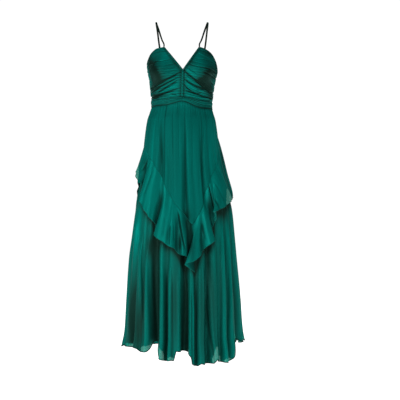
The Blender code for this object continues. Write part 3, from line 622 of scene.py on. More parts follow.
def lower_tier(first, last, name, node):
    """One panel of the long tier with its rolled hem."""
    angle = np.linspace(first, last, TIER_COLUMNS)[:, None]
    top = height_of(V_SEAM, angle) - TIER_DROP
    hem = height_of(HEM, angle) + HEM_WAVE * uneven(angle, 26, 70, 4.5)
    body = mix(top, hem + FINE_HEM, down_steps(TIER_ROWS))
    edge = mix(hem + FINE_HEM, hem, down_steps(HEM_ROWS)[:, 1:])
    height = np.concatenate([body, edge], 1)
    # The cloth is moved inward at right angles to its folds, so that its wall stays even.
    side = skirt(angle + NEAR_ANGLE, height) - skirt(angle - NEAR_ANGLE, height)
    down = skirt(angle, height - NEAR_HEIGHT) - skirt(angle, height + NEAR_HEIGHT)
    inward = np.cross(side, down)
    inward /= np.linalg.norm(inward, axis=-1, keepdims=True)
    below = np.clip((top - height) / SEAM_CALM, 0, 1)
    creases = crease_depth(TIER_CREASES, angle, height) * below
    flute = HEM_FLUTE * uneven(angle, 31, 40, 5)
    flute = flute * eased((hem + FLUTE_REACH - height) / FLUTE_REACH)
    grid = skirt(angle, height) + inward * (TIER_INSET + creases + flute)[..., None]
    # Painted shade in the creases, and a little painted light on their ridges.
    shade = tier_shade(angle, height) + np.clip(creases / CREASE_DARK_DEPTH, -0.10, 0.5)
    # Painted shadow under the flounce's free edge, weaker at the left side, which faces the light.
    under = np.maximum(height_of(UNDER_FLOUNCE, angle) - height, 0) / SHADOW_FALL
    shaded = SHADOW - SHADOW_SIDE_LOSS * bell((angle - SHADOW_SIDE) / SHADOW_SIDE_WIDTH)
    shade = np.minimum(shade, FOLD_DARKEST) + shaded * np.exp(-(under**1.4))
    # Sheer places get the sheer finish, and most of their painted shade is taken away, as painted
    # light shining through.
    sheer = np.zeros((TIER_COLUMNS - 1, height.shape[1] - 1), bool)
    for patch in SHEER_PATCHES:
        reach = arch_height(patch, angle)
        sheer |= ((height - hem) < reach)[:-1, 1:]
        shade = np.where((height - hem) < reach * 1.05, shade * 0.25, shade)
    piece = cloth(name, grid, np.radians(angle) * TIER_RADIUS, height, shade,
                  (skirt_satin, sheer_hem), sheer)
    hem_roll = grown(name + "_rolled_hem", [grid[:, -1]], roll,
                     {"Radius": HEM_ROLL, "Finish": hem_edge})
    fitted(piece, [node])


lower_tier(-90, 90, "lower_tier_front", "lower_skirt_front")
lower_tier(90, 270, "lower_tier_back", "lower_skirt_back")

# ---------------------------------------------------------------- upper skirt
# The upper skirt is satin chiffon gathered into the waist seam with fine even gathers. A few soft
# folds run down it to the pointed seam where the flounce and the long tier are sewn on.
WAIST_SEAM = in_metres(Edge, "height", [
    (-180, -347), (-90, -341), (-33, -338), (-15, -331), (1, -323.5), (12, -330), (27, -343),
    (43, -350), (90, -350), (180, -347),
])
SKIRT_DROP = 0.0008
# The upper skirt's own green, and the dark green of painted shade that it shares with the flounce.
HIP_GREEN = (0.0006, 0.156, 0.129, 1)
SOFT_SHADE_GREEN = (0.003, 0.025, 0.019, 1)
hip_satin = cloth_material("upper skirt chiffon", HIP_GREEN, SOFT_SHADE_GREEN, 0.60, 0.10, 0.06)
GATHER_DEPTH = 0.00066
GATHER_FALL = 0.085
BACK_MEETING = 0.0002
ZIP_EDGE = 0.0020
ZIP_END = -0.50
TUCK = 0.004
UNDER_BAND = 0.0006
HIP_RADIUS = 0.16
HIP_ROWS = 61
# Depths at which the creases, the lines and the gather hollows are painted fully dark.
HIP_CREASE_DARK_DEPTH = 0.0045
HIP_LINE_DARK_DEPTH = 0.0042
GATHER_DARK_DEPTH = 0.0014
HIP_CREASES = in_metres(Crease, "top foot depth", [
    (-46.1, -47.2, -364, -546, 3.3, 1.5), (-37.6, -27, -365, -617, 2.9, 4),
    (-31.1, -21.9, -365, -672, 2.4, -1.4), (-26.3, -17.8, -350, -594, 2.4, 1.4),
    (-19.4, -11.6, -350, -710, 2.2, -1.1), (-14.7, -8.6, -342, -733, 1.9, 1.5),
    (-10.3, -5.6, -338, -741, 2.1, -1.4), (-4.8, -2.5, -334, -595, 1.8, 1.4),
    (-0.2, 0.7, -334, -760, 2.1, -1), (7, 5, -366, -779, 2, 3.8), (13, 8, -342, -764, 2.4, -1.4),
    (20.5, 14, -350, -672, 2.1, 1.5), (26.1, 16.2, -358, -756, 2.4, -1.1),
    (33.3, 21.2, -365, -710, 2.1, 1.5), (39.6, 26, -389, -729, 2.1, 4.5),
    (47.2, 31.3, -372, -671, 3, -1.4), (56, 38.8, -371, -625, 2.6, 1.6),
    (68, 48.3, -369, -601, 4.1, -1.2), (76.1, 60.7, -384, -553, 4.9, 1.5),
    (-58, -62.3, -370, -513, 4.7, -1.1), (-70, -76, -393, -500, 5.2, 1.4),
    (104, 108, -372, -470, 4, -0.9), (116, 121, -368, -530, 3.4, 1.6),
    (127, 131, -372, -560, 3, -1.2), (138, 140, -365, -610, 2.6, 1.9),
    (146, 148, -372, -630, 3.2, -1), (157, 158, -380, -670, 2.4, 2.3),
    (168, 167, -400, -690, 2.8, -1.1), (-169, -169.5, -390, -690, 2.6, -1.2),
    (-159, -161, -372, -670, 2.8, 2.1), (-149, -150, -366, -640, 3, -1.1),
    (-139, -141, -372, -600, 2.5, 1.8), (-128, -131, -368, -560, 3.2, -1.2),
    (-117, -119, -374, -530, 3, 1.5), (-105, -107, -372, -500, 3.6, -0.9),
])

# Narrow creases, each painted with a dark line of shade, where the cloth between two gathers falls
# into itself.
HIP_LINES = in_metres(Crease, "top foot depth", [
    (-29.6, -22.3, -300, -690, 1.4, 1.9), (5.6, 6.4, -290, -800, 1.9, 1.6),
    (38, 25.5, -300, -745, 1.6, 2), (48.5, 41, -310, -560, 1.3, 1.4),
    (-16, -11.5, -310, -560, 1.2, 0.9), (-44, -37, -310, -480, 1.3, 1),
    (17, 15, -310, -520, 1.2, 0.9), (-60, -62, -320, -470, 1.6, 1), (66, 60, -320, -480, 1.6, 1),
    (120, 121, -310, -520, 1.4, 1.6), (143, 144, -310, -600, 1.3, 1.8),
    (162, 162, -310, -640, 1.3, 1.4), (-165, -165, -310, -660, 1.3, 1.8),
    (-142, -143, -310, -560, 1.4, 1.4), (-121, -122, -310, -510, 1.4, 1.6),
])
# Painted shade where the upper skirt turns away from the light or lies under the band, and painted
# light, below zero, where it faces the light.
HIP_SHADING = in_metres(Shading, "height half_height", [
    (-62, -450, 22, 100, 0.1), (4, -775, 5, 24, 0.7), (8, -750, 2.2, 45, 0.3),
    (-14, -560, 16, 160, 0.22), (60, -520, 15, 150, -0.45), (33, -560, 4, 110, 0.18),
    (-32.5, -530, 4, 110, 0.4), (-49, -500, 6, 100, -0.28), (-24, -370, 6, 20, 0.2),
    (-6, -365, 4, 22, 0.22), (22, -372, 5, 18, 0.2), (48, -380, 8, 20, 0.2),
    (-52, -365, 6, 16, 0.15),
])


def rear_turn(aside, height):
    """Angle between the centre back and a point that lies this far aside from it."""
    left, right, _, _ = read(GIRTHS, height)
    return np.degrees(np.arcsin(aside / np.minimum(left, right)))


def zip_edge_angle(height):
    """Angle of a back panel's edge, which lies beside the zip and below it meets the other."""
    space = mix(BACK_MEETING, ZIP_EDGE, eased((height - ZIP_END) / 0.03 + 1))
    return 180 - rear_turn(space, height)


def upper_panel(first, last, columns, name, node):
    """One panel of the upper skirt."""
    angle = np.linspace(first, last, columns)[:, None]
    top = height_of(WAIST_SEAM, angle) - SKIRT_DROP
    foot = height_of(V_SEAM, angle)
    height = mix(top, foot, down_steps(HIP_ROWS) ** 1.15)
    height[:, 0] += TUCK
    edge = zip_edge_angle(height)
    turned = np.clip(angle, -edge, edge)
    fallen = (top - height) / GATHER_FALL
    small = uneven(angle, 97, 160, 9) + 0.7 * uneven(angle, 61, 190, 5, 30)
    lasting = 0.30 + 0.70 * uneven(angle, 12, 90, 3.5) ** 2
    gather = GATHER_DEPTH * small * np.minimum(0.4 + 8 * fallen, 1) * (1 - eased(fallen / lasting))
    ends = eased((angle - first) / 3) * eased((last - angle) / 3) * eased((height - foot) / 0.03)
    gather = gather * ends
    creases = crease_depth(HIP_CREASES, angle, height) * ends
    creases = np.where(creases > 0, creases * 0.7, creases * 0.2)
    lines = crease_depth(HIP_LINES, angle, height) * ends
    grid = skirt(turned, height, gather - creases - lines * 0.5)
    grid[:, 0] -= figure(turned[:, 0], height[:, 0])[1] * UNDER_BAND
    # Painted shade: a little in the long folds, more in the creases, lines and gather hollows and
    # just under the waist seam, with the painted light and shade of the table.
    shade = 0.04 + tier_shade(angle, height) * 0.35
    shade = shade + np.clip(creases / HIP_CREASE_DARK_DEPTH, 0, 1) ** 2 * 0.50
    shade = shade + lines / HIP_LINE_DARK_DEPTH
    shade = shade + np.clip(-gather / GATHER_DARK_DEPTH, 0, 1) * 0.30
    shade = shade + painted_light_and_shade(HIP_SHADING, angle, height) + 0.45 * bell((top - height) / 0.005)
    piece = cloth(name, grid, np.radians(angle) * HIP_RADIUS, height, shade, (hip_satin,))
    fitted(piece, [node])


upper_panel(-90, 90, 401, "hip_front", "upper_skirt_front")
upper_panel(-180, -90, 201, "hip_back_left", "upper_skirt_back_left")
upper_panel(90, 180, 201, "hip_back_right", "upper_skirt_back_right")

# ---------------------------------------------------------------- flounce
# The flounce is a bias-cut ring of chiffon sewn into the pointed seam. Cut fuller at its free
# edge than at the seam, it drops in deep S-folds that stand clear of the long tier.
FLOUNCE_DROP = 0.00125
FLOUNCE_RADIUS = 0.24
FLOUNCE_ROWS = 45
EDGE_CURL = 0.0020
EDGE_ROLL = 0.0008
UNDER_SEAM = 0.0010
# Sizes of the flounce's painted shade: folds that stand out less are painted darker, and creases
# this deep are painted fully dark.
FLAT_FOLD = 0.006
OPEN_FOLD = 0.022
CAUGHT_DARK_DEPTH = 0.0035
FLOUNCE_POINT = 12
BACK_WAVES = 5
BACK_DROP = 0.188
BACK_WAVE_DROP = 0.012
BACK_WAVE_SWING = 3.5
BACK_STANDS_OUT = 0.024
BACK_WAVE_OUT = 0.013
SIDE_PUFF = 0.013
SIDE_PUFF_ANGLE = 101
SIDE_PUFF_SPREAD = 8
Turn = namedtuple("Turn", "seam_angle hem_angle hem_height stands_out")
SIDE_LEFT = Turn(-90, -92, -0.592, 0.020)
SIDE_RIGHT = Turn(90, 86, -0.700, 0.012)
V_POINT = Turn(FLOUNCE_POINT, 13, -0.984, 0.007)
FLOUNCE_FRONT_LEFT = [SIDE_LEFT, *in_metres(Turn, "hem_height stands_out", [
    (-84, -78, -606, 25), (-78, -67, -628, 26), (-72, -60, -643, 22), (-66, -57.2, -655, 11),
    (-60, -55, -674, 11), (-54, -52.7, -692, 28), (-51, -50.4, -703, 36), (-48, -46.5, -720, 40),
    (-42, -37.5, -755, 41), (-36, -32, -779, 38), (-33, -30.2, -786, 35), (-30, -29.5, -791, 28),
    (-27, -29.3, -799, 15), (-24, -28.9, -812, 7), (-21, -28.6, -830, 15), (-19.5, -28.2, -840, 26),
    (-18, -25.7, -848, 34), (-12, -15, -873, 41), (-10.5, -12.3, -882, 35), (-9, -9, -888, 37),
    (-7.5, -6.5, -893, 29), (-4.5, -4.8, -905, 11), (-1.5, -2, -915, 16), (1.5, 1.5, -919, 28),
    (4.5, 4.5, -922, 27), (7.5, 7, -933, 13), (9, 9, -945, 8),
]), V_POINT]
FLOUNCE_FRONT_RIGHT = [V_POINT, *in_metres(Turn, "hem_height stands_out", [
    (13.5, 9, -972, 15), (15, 3.5, -955, 30), (16.5, 5.5, -948, 40), (18, 10.5, -942, 42),
    (19.5, 16, -927, 32), (21, 19.5, -917, 15), (22.5, 21, -903, 13), (24, 23.5, -889, 29),
    (25.5, 27, -877, 40), (27, 31.5, -864, 36), (28.5, 32.6, -849, 21), (31.5, 32.8, -823, 9),
    (34.5, 34.2, -805, 11), (37.5, 36, -795, 14), (40.5, 37.4, -780, 18), (43.5, 36, -766, 25),
    (45, 34, -760, 30), (48, 31, -755, 39), (51, 33, -752, 46), (57, 42.5, -739, 45),
    (63, 53, -724, 34), (69, 61.5, -717, 25), (75, 68.5, -711, 18), (81, 75, -706, 14),
    (87, 82.5, -702, 12),
]), SIDE_RIGHT]

# Painted shade where the flounce turns away from the light or lies behind other folds, and painted
# light, below zero, where it faces the light.
FLOUNCE_SHADING = in_metres(Shading, "height half_height", [
    (9, -850, 3.4, 80, 1), (7, -795, 4.5, 32, 0.75), (-27, -700, 4, 70, 0.1),
    (1.5, -860, 3, 60, 0.2), (-13, -840, 1.5, 34, 0.5), (-1, -875, 1.7, 32, 0.6),
    (25, -830, 4, 60, 0.16), (-20, -820, 5, 60, 0.1), (33, -745, 3, 50, 0.15),
    (102, -560, 9, 90, 0.55), (58, -640, 18, 80, -0.3), (91, -535, 8, 45, 0.6),
])

# Narrow creases where the flounce's cloth is caught or folds over itself. Each is also painted
# darker, as shade.
FLOUNCE_CREASES = in_metres(Crease, "top foot depth", [
    (-4.6, 4.6, -735, -912, 1.5, 4.5), (-11.2, -10.6, -795, -890, 1, 3),
    (-7.5, -7, -800, -872, 0.9, 2.6), (-16.5, -17.5, -770, -850, 1.1, 1.6),
    (22, 23.5, -795, -870, 1, 2.4), (19, 18, -850, -915, 0.9, 1.8),
    (36.5, 37.5, -600, -760, 1.5, 4.5), (45, 47, -630, -735, 1.4, 2),
    (60, 62, -570, -690, 1.6, 1.8), (-56, -66, -515, -605, 2, 3), (-50, -60, -555, -655, 1.6, 2.4),
    (-44, -45, -590, -700, 1.4, 2),
])

FLOUNCE_GREEN = (0.0009, 0.190, 0.156, 1)
# Painted light: the clear places of the flounce really are see-through, and their pale green is
# painted light shining through them.
CLEAR_LIT_GREEN = (0.090, 0.460, 0.360, 1)
rolled_edge = thread_material("rolled chiffon edge", (0.0008, 0.150, 0.120, 1), 0.55, 900)
flounce_satin = cloth_material("flounce chiffon", FLOUNCE_GREEN, SOFT_SHADE_GREEN, 0.46, 0.10, 0.10)
sheer_flounce = cloth_material("sheer flounce chiffon", CLEAR_LIT_GREEN, SOFT_SHADE_GREEN, 0.46, 0.10, 0.08,
                               0.80)


def back_turns(side, side_turn):
    """Even S-folds of a back flounce, from the side seam to the centre back."""
    turns = [side_turn]
    for step in range(1, 2 * BACK_WAVES + 1):
        seam = side * mix(90, 180, step / (2 * BACK_WAVES))
        out = 1 if step % 2 else -1
        settled = float(eased(step / 4))
        swing = 0 if step == 2 * BACK_WAVES else side * out * BACK_WAVE_SWING * settled
        drop = BACK_DROP - out * BACK_WAVE_DROP
        height = mix(side_turn.hem_height, float(height_of(V_SEAM, seam)) - drop, settled)
        stands_out = mix(side_turn.stands_out, BACK_STANDS_OUT, settled)
        stands_out += out * BACK_WAVE_OUT * settled
        turns.append(Turn(seam, seam + swing, height, stands_out))
    return sorted(turns)


def flounce(turns, between, name, node, clear=None):
    """A stretch of flounce between its seam edge and its rolled free edge."""
    angles = [turns[0].seam_angle]
    for turn, following in zip(turns, turns[1:]):
        angles += list(np.linspace(turn.seam_angle, following.seam_angle, between + 1)[1:])
    angle = np.array(angles)[:, None]
    hem_angle, hem_height, stands_out = read(turns, angle, True)
    top = height_of(V_SEAM, angle) - FLOUNCE_DROP
    down = down_steps(FLOUNCE_ROWS)
    turned = mix(angle, hem_angle, down**1.2)
    height = mix(top, hem_height, down)
    curl = EDGE_CURL * uneven(angle, 57, 60, 7) * down**4
    puff = SIDE_PUFF * bell((angle - SIDE_PUFF_ANGLE) / SIDE_PUFF_SPREAD)
    raised = stands_out * down**1.1 + puff * np.maximum(np.sin(math.pi * down), 0) ** 0.6 + curl
    height = height + TUCK * (1 - eased(down / 0.04))
    raised = raised - UNDER_SEAM * (1 - eased(down / 0.06))
    caught = crease_depth(FLOUNCE_CREASES, turned, height) * eased(down / 0.10)
    grid = skirt(turned, height, raised - caught, (1 - down) ** 2)
    # Painted shade: folds that lie flat or turn in are painted dark, less so on the back flounces
    # past the sides, with the painted light and shade of the table and painted shade in the
    # creases.
    beside = eased((np.abs(angle) - 96) / 46) * (np.abs(angle) > 90) + (np.abs(angle) <= 90)
    open_share = np.clip((stands_out - FLAT_FOLD) / OPEN_FOLD, 0, 1)
    shade = (1 - open_share) * eased(down / 0.45) * 0.92 * beside
    shade = shade * np.ones_like(height) + painted_light_and_shade(FLOUNCE_SHADING, turned, height)
    shade = shade + np.clip(caught / CAUGHT_DARK_DEPTH, 0, 1) * 0.60
    # Clear places get the sheer finish and no painted shade, as painted light shining through.
    marks = np.zeros((len(angles) - 1, FLOUNCE_ROWS - 1), bool)
    if clear is not None:
        thin = height - hem_height < arch_height(clear, angle)
        marks = thin[:-1, 1:]
        shade = np.where(thin, 0, shade)
    piece = cloth(name, grid, np.radians(angle) * FLOUNCE_RADIUS, height * np.ones_like(angle),
                  shade, (flounce_satin, sheer_flounce), marks)
    edge = grown(name + "_rolled_edge", [grid[:, -1]], roll,
                 {"Radius": EDGE_ROLL, "Finish": rolled_edge})
    fitted(piece, [node])


flounce(FLOUNCE_FRONT_LEFT, 7, "flounce_left", "flounce_front_left",
        Patch(-83, 7, 0.036))
flounce(FLOUNCE_FRONT_RIGHT, 7, "flounce_right", "flounce_front_right",
        Patch(69, 9, 0.048))
flounce(back_turns(-1, SIDE_LEFT), 18, "flounce_rear_left", "flounce_back_left")
flounce(back_turns(1, SIDE_RIGHT), 18, "flounce_rear_right", "flounce_back_right")

# The pointed seam itself: the upper skirt's edge is turned in over the flounce and pressed, and
# shows as a thin raised line all round.
SEAM_LINE_DROP = 0.0004
SEAM_LINE_INSET = 0.0002
SEAM_LINE_ROLL = 0.0005
seam_thread = thread_material("turned seam edge", (0.0008, 0.120, 0.098, 1), 0.50, 900)
seam_angles = np.linspace(-180, 180, 721)
seam_line = skirt(seam_angles, height_of(V_SEAM, seam_angles) - SEAM_LINE_DROP, -SEAM_LINE_INSET)
grown("pointed_seam", [seam_line], roll,
      {"Radius": SEAM_LINE_ROLL, "Finish": seam_thread})

# ---------------------------------------------------------------- ruched cups
# Each cup is satin chiffon gathered between the centre strip and the side seam into uneven
# folds, which lie nearly flat at the top and crowd together under the bust.
CENTRE_X = 0.005
APEX_X = 0.066
APEX_HEIGHT = -0.108
V_NECK_HEIGHT = -0.198
BINDING_DROP = 0.0113
GATHER_HALF_WIDTH = 0.005
GATHER_FOOT_X = 0.002
NECK_SHARE = 0.46
FOLD_DROOP = 1.15
SEAM_GAP = 0.0005
BUST_ANGLE = 35
BUST_HEIGHT = -0.208
BUST_SPREAD = 20
BUST_RISE = 0.050
BUST_DEPTH = 0.027
TOP_EDGE = in_metres(Edge, "height", [
    (-180, -212), (-130, -208), (-100, -197), (-90, -182), (-86, -164), (-82, -149), (-74, -129),
    (-66, -117.5), (-58, -111), (-48, -109), (-30, -108), (40, -108), (50, -112), (62, -121),
    (72, -138), (80, -158), (90, -182), (100, -197), (130, -208), (180, -212),
])
BAND_TOP = in_metres(Edge, "height", [
    (-180, -320), (-90, -316), (-40, -312), (-15, -307), (1, -305), (12, -308), (35, -317),
    (90, -322), (180, -320),
])
Fan = namedtuple("Fan", "down outer")
FOLD_FAN = [Fan(0, 0), Fan(0.22, 0.34), Fan(0.46, 0.68), Fan(0.70, 0.87), Fan(1, 1)]

# Folds drawn up at the centre strip. Each runs through three places to the side, and is a trough
# where its depth is above zero and a roll below.
Fold = namedtuple("Fold", "start_angle start_height middle_angle middle_height end_angle "
                  "end_height half_width depth")
FOLDS_LEFT = in_metres(Fold, "start_height middle_height end_height half_width depth", [
    (-29, -126.5, -46, -125.5, -64, -131, 3, 1.4), (-17, -157, -30, -165, -46, -164, 3.5, 1.4),
    (-54, -164, -70, -166.5, -88, -174, 3.5, 2.6), (-42, -169.1, -66, -183.2, -92, -190, 4.5, 3),
    (-8, -175, -15, -178, -24, -184, 3.5, 1.4), (-60, -190, -76, -200, -106, -204.5, 5, 4.6),
    (-8, -193, -20, -202, -36, -206, 4.5, -1), (-16, -212, -22, -216.5, -30, -221.5, 3, -1.6),
    (-3, -210, -30, -244, -78, -264, 6, 4.2), (-64, -221, -77, -229, -106, -233, 5, 2.8),
    (-8, -226.5, -18, -237.5, -30, -251, 3, -1.4), (-6, -230.3, -34, -262, -84, -282, 4.8, 3.8),
    (-7, -235.4, -22, -253, -47, -276, 3.4, -1.8), (-8, -244.2, -22, -262.5, -46, -285, 4.2, 3.8),
    (-6, -252, -18, -268.4, -34, -283, 8, -3.6), (-8, -275, -32, -289.5, -106, -296.5, 5.6, 4.8),
    (-58, -270, -76, -272.5, -106, -274, 3.8, 2.4), (-8, -298.6, -13, -295.5, -19, -292.9, 3, 2),
    (-8, -307, -26, -305, -44, -306, 7, -3), (-48, -306, -70, -308, -106, -308.5, 4, 3),
])
FOLDS_RIGHT = in_metres(Fold, "start_height middle_height end_height half_width depth", [
    (34, -120, 50, -126, 66, -140, 3.5, 1.6), (30, -131, 40, -140, 52, -152, 4, -1.4),
    (24, -156, 42, -160, 74, -174, 3.5, 1.3), (14, -165, 22, -170, 32, -178, 3.5, 1.2),
    (12, -178, 20, -185, 30, -190, 3, 1.2), (26, -190, 50, -198.5, 92, -208, 4.2, 2.4),
    (8, -196, 14, -208, 21, -219, 6.5, -2.2), (33, -210, 50, -219, 80, -226, 4.2, 2.6),
    (62, -214, 78, -221, 106, -223, 4.5, 3.6), (5, -205, 27, -248, 72, -283, 5.5, 4),
    (6, -224, 16, -242.4, 28, -257, 4.2, -2.8), (56, -243, 74, -251, 106, -254, 4.8, 2.6),
    (6, -239, 22, -261, 44, -274.5, 4.6, 3.6), (7, -248, 16, -263, 28, -274.5, 6.5, -3.2),
    (30, -243, 50, -266, 106, -277, 6.2, 3.6), (5, -260, 17, -282.6, 36, -288.5, 4.2, 3.8),
    (13, -271.5, 26, -279.5, 44, -278.5, 2.6, -2), (8, -280, 30, -295.5, 76, -305, 4.6, 3.8),
    (58, -286, 76, -290.5, 106, -292.5, 3.6, 3), (8, -294, 24, -304, 60, -308, 4.2, -2.6),
    (10, -304, 30, -312, 66, -316.5, 3, 1.8),
])

# Painted shade where a cup turns away from the light, and painted light where it faces it.
CUP_SHADING = in_metres(Shading, "height half_height", [
    (-74, -150, 13, 24, 0.6), (-58, -176, 15, 24, 0.85), (-48, -208, 18, 28, 1.05),
    (-46, -242, 19, 26, 0.95), (-62, -270, 17, 17, 0.8), (-60, -301, 28, 10, 1),
    (-80, -222, 7, 30, -0.45), (-28, -156, 8, 36, -0.34), (-16, -266, 9, 10, -0.12),
    (-12, -190, 8, 20, 0.12), (58, -132, 16, 16, 0.6), (40, -216, 12, 22, 0.7),
    (58, -214, 18, 36, 0.8), (33, -243, 10, 14, 0.9), (46, -260, 15, 17, 1),
    (64, -276, 16, 16, 0.95), (72, -303, 18, 14, 0.75), (80, -180, 12, 36, 0.6),
    (29, -162, 8, 34, -0.34), (17, -262, 8, 10, -0.12), (15, -178, 6, 16, 0.3),
])
CUP_ROWS = 216
CUP_COLUMNS = 91
FOLD_ARC = 0.0024
FOLD_REACH = 0.12
STEEP_SIDE = 0.7
GENTLE_SIDE = 1.3
RIPPLE = 0.00010
LOW_RIPPLE = 0.00028
UNDER_STRIP = 0.0011
# Depths at which the folds and the ripple hollows are painted fully dark.
FOLD_DARK_DEPTH = 0.0045
RIPPLE_DARK_DEPTH = 0.0013

# The ruched satin's own green, and the dark green of its painted shade.
RUCHED_GREEN = (0.0008, 0.160, 0.132, 1)
RUCHED_SHADE_GREEN = (0.006, 0.016, 0.011, 1)
ruched_satin = cloth_material("ruched satin chiffon", RUCHED_GREEN, RUCHED_SHADE_GREEN, 0.44, 0.06, 0.14)


def side_steps(count):
    """Shares from 0 to 1 as a column, for the way across a grid."""
    return np.linspace(0, 1, count)[:, None]


def ring(turns):
    """A wave that comes back once for each turn."""
    return np.sin(2 * math.pi * turns)


def bodice(angle, height, raised=0.0):
    """Points on the bodice, moved out by a raise."""
    point, outward = figure(angle, height)
    rise = bell((height - BUST_HEIGHT) / BUST_RISE)
    sides = sum(bell((wrapped(angle) - side * BUST_ANGLE) / BUST_SPREAD) for side in (-1, 1))
    return point + outward * (BUST_DEPTH * rise * sides + raised)[..., None]


def angle_at(across, height):
    """Front angle whose point lies at a given X."""
    left, right, _, _ = read(GIRTHS, height)
    return np.degrees(np.arcsin(across / np.where(np.asarray(across) > 0, right, left)))


def neckline(side, share, lowered):
    """X and height on the neckline from a cup's apex to the V, or that far below it."""
    aside = lowered * (APEX_X + CENTRE_X) / (APEX_HEIGHT - V_NECK_HEIGHT)
    across = mix(side * (APEX_X + aside), CENTRE_X, share)
    return across, mix(APEX_HEIGHT, V_NECK_HEIGHT - lowered, share)


def drawn_folds(folds, angle, height):
    """Depth of a table of drawn folds. Each is steep on its upper side, where the cloth above
    hangs over it, and gentle on its lower one."""
    total = np.zeros(np.broadcast(angle, height).shape)
    for fold in folds:
        turn = fold.end_angle - fold.start_angle
        share = (angle - fold.start_angle) / turn
        bend = (fold.middle_angle - fold.start_angle) / turn
        drop = fold.end_height - fold.start_height
        bow = (fold.middle_height - fold.start_height - drop * bend) / (bend * (1 - bend))
        near = np.clip(share, -FOLD_REACH, 1 + FOLD_REACH)
        line = fold.start_height + drop * near + bow * near * (1 - near)
        slope = (drop + bow * (1 - 2 * near)) / (turn * FOLD_ARC)
        off = (height - line) / np.hypot(1, slope) / fold.half_width
        off = np.where(off > 0, off / STEEP_SIDE, off / GENTLE_SIDE)
        lasting = eased((share + FOLD_REACH) / (2 * FOLD_REACH))
        lasting = lasting * eased((1 + FOLD_REACH - share) / (2 * FOLD_REACH))
        total = total + fold.depth * lasting * trough(off)
    return total


def cup(side, name, node, folds):
    """One ruched cup, from its neckline and the centre strip out to the side seam. Its inner and
    lower edges are tucked under the binding, the strip and the waist band."""
    lowered = BINDING_DROP - TUCK
    strip_side = GATHER_HALF_WIDTH - TUCK * 0.7
    corner = 1 - strip_side / (APEX_X + CENTRE_X)
    band_height = float(height_of(BAND_TOP, 0)) + SEAM_GAP

    down, away = down_steps(CUP_ROWS), side_steps(CUP_COLUMNS)
    if side < 0:
        away = away[::-1]
    neck_x, neck_z = neckline(side, corner * down / NECK_SHARE, lowered)
    turn_x, turn_z = neckline(side, corner, lowered)
    share = np.clip((down - NECK_SHARE) / (1 - NECK_SHARE), 0, 1)
    foot_x = GATHER_FOOT_X + side * strip_side
    along_neck = down < NECK_SHARE
    inner_x = np.where(along_neck, neck_x, mix(turn_x, foot_x, share))
    inner_z = np.where(along_neck, neck_z, mix(turn_z, band_height, share))

    outer_angle = side * 90
    outer_top = float(height_of(TOP_EDGE, outer_angle))
    outer_foot = float(height_of(BAND_TOP, outer_angle)) + SEAM_GAP
    angle = mix(angle_at(inner_x, inner_z), outer_angle, away)
    top_angle = mix(angle_at(inner_x[:, :1], inner_z[:, :1]), outer_angle, away)
    foot_angle = mix(angle_at(inner_x[:, -1:], inner_z[:, -1:]), outer_angle, away)
    outer = mix(outer_top, outer_foot, read(FOLD_FAN, down)[0])
    plain = mix(inner_z, outer, away**FOLD_DROOP)
    at_top = height_of(TOP_EDGE, top_angle) - mix(inner_z[:, :1], outer_top, away**FOLD_DROOP)
    at_foot = height_of(BAND_TOP, foot_angle) + SEAM_GAP
    at_foot = at_foot - mix(inner_z[:, -1:], outer_foot, away**FOLD_DROOP)
    height = plain + mix(at_top, at_foot, down)

    fade = eased((away - 0.03) / 0.06)
    low = eased((down - 0.30) / 0.35)
    sway = down + 0.010 * ring(1.7 * down + 1.1 * away)
    ripple = ring(19 * sway + 0.8 * away) + 0.7 * ring(31 * sway - 1.3 * away)
    ripple = ripple * eased((1 - away) / 0.03) * (RIPPLE + LOW_RIPPLE * low)
    ripple = ripple * (0.6 + 0.4 * ring(1.3 * away + 2.2 * down))
    depth = drawn_folds(folds, angle, height)
    at_strip = 1 - eased((away - 0.02) / 0.05)
    at_band = 1 - eased((1 - down) / 0.015)
    tucked = mix(at_strip * UNDER_STRIP, UNDER_BAND, at_band)
    height = height - TUCK * (1 - eased((1 - down) / 0.012))
    fade = fade * eased((1 - down) / 0.035)
    grid = bodice(angle, height, (ripple - depth) * fade - tucked)

    # Painted shade: darker in the folds and ripple hollows and lighter on the rolls, with the
    # painted light and shade of the table, and darker along the inner edge where the cup goes under
    # the binding and the strip.
    shade = 0.14 + np.clip(depth / FOLD_DARK_DEPTH, -0.10, 1) * 0.95 - ripple / RIPPLE_DARK_DEPTH
    shade = shade + painted_light_and_shade(CUP_SHADING, angle, height) + 0.60 * bell(away / 0.05)
    piece = cloth(name, grid, down * 0.24, away * 0.16, shade, (ruched_satin,))
    fitted(piece, [node])


cup(-1, "ruched_cup_left", "cup_left", FOLDS_LEFT)
cup(1, "ruched_cup_right", "cup_right", FOLDS_RIGHT)

# ---------------------------------------------------------------- neckline binding
# The neckline is bound with a folded bias strip of the same chiffon, stitched down along its
# lower edge. The two strips meet at the point of the V.
NECK_GAP = 0.0008
BINDING_RAISE = 0.0006
BINDING_CROWN = 0.0010
BINDING_PUCKER = 0.00025
BINDING_WALL = 0.0012
STITCHED_ROW = 7
THREAD_RAISE = 0.0002
neck_thread = thread_material("neckline thread", (0.0010, 0.070, 0.056, 1), 0.60, 1500)


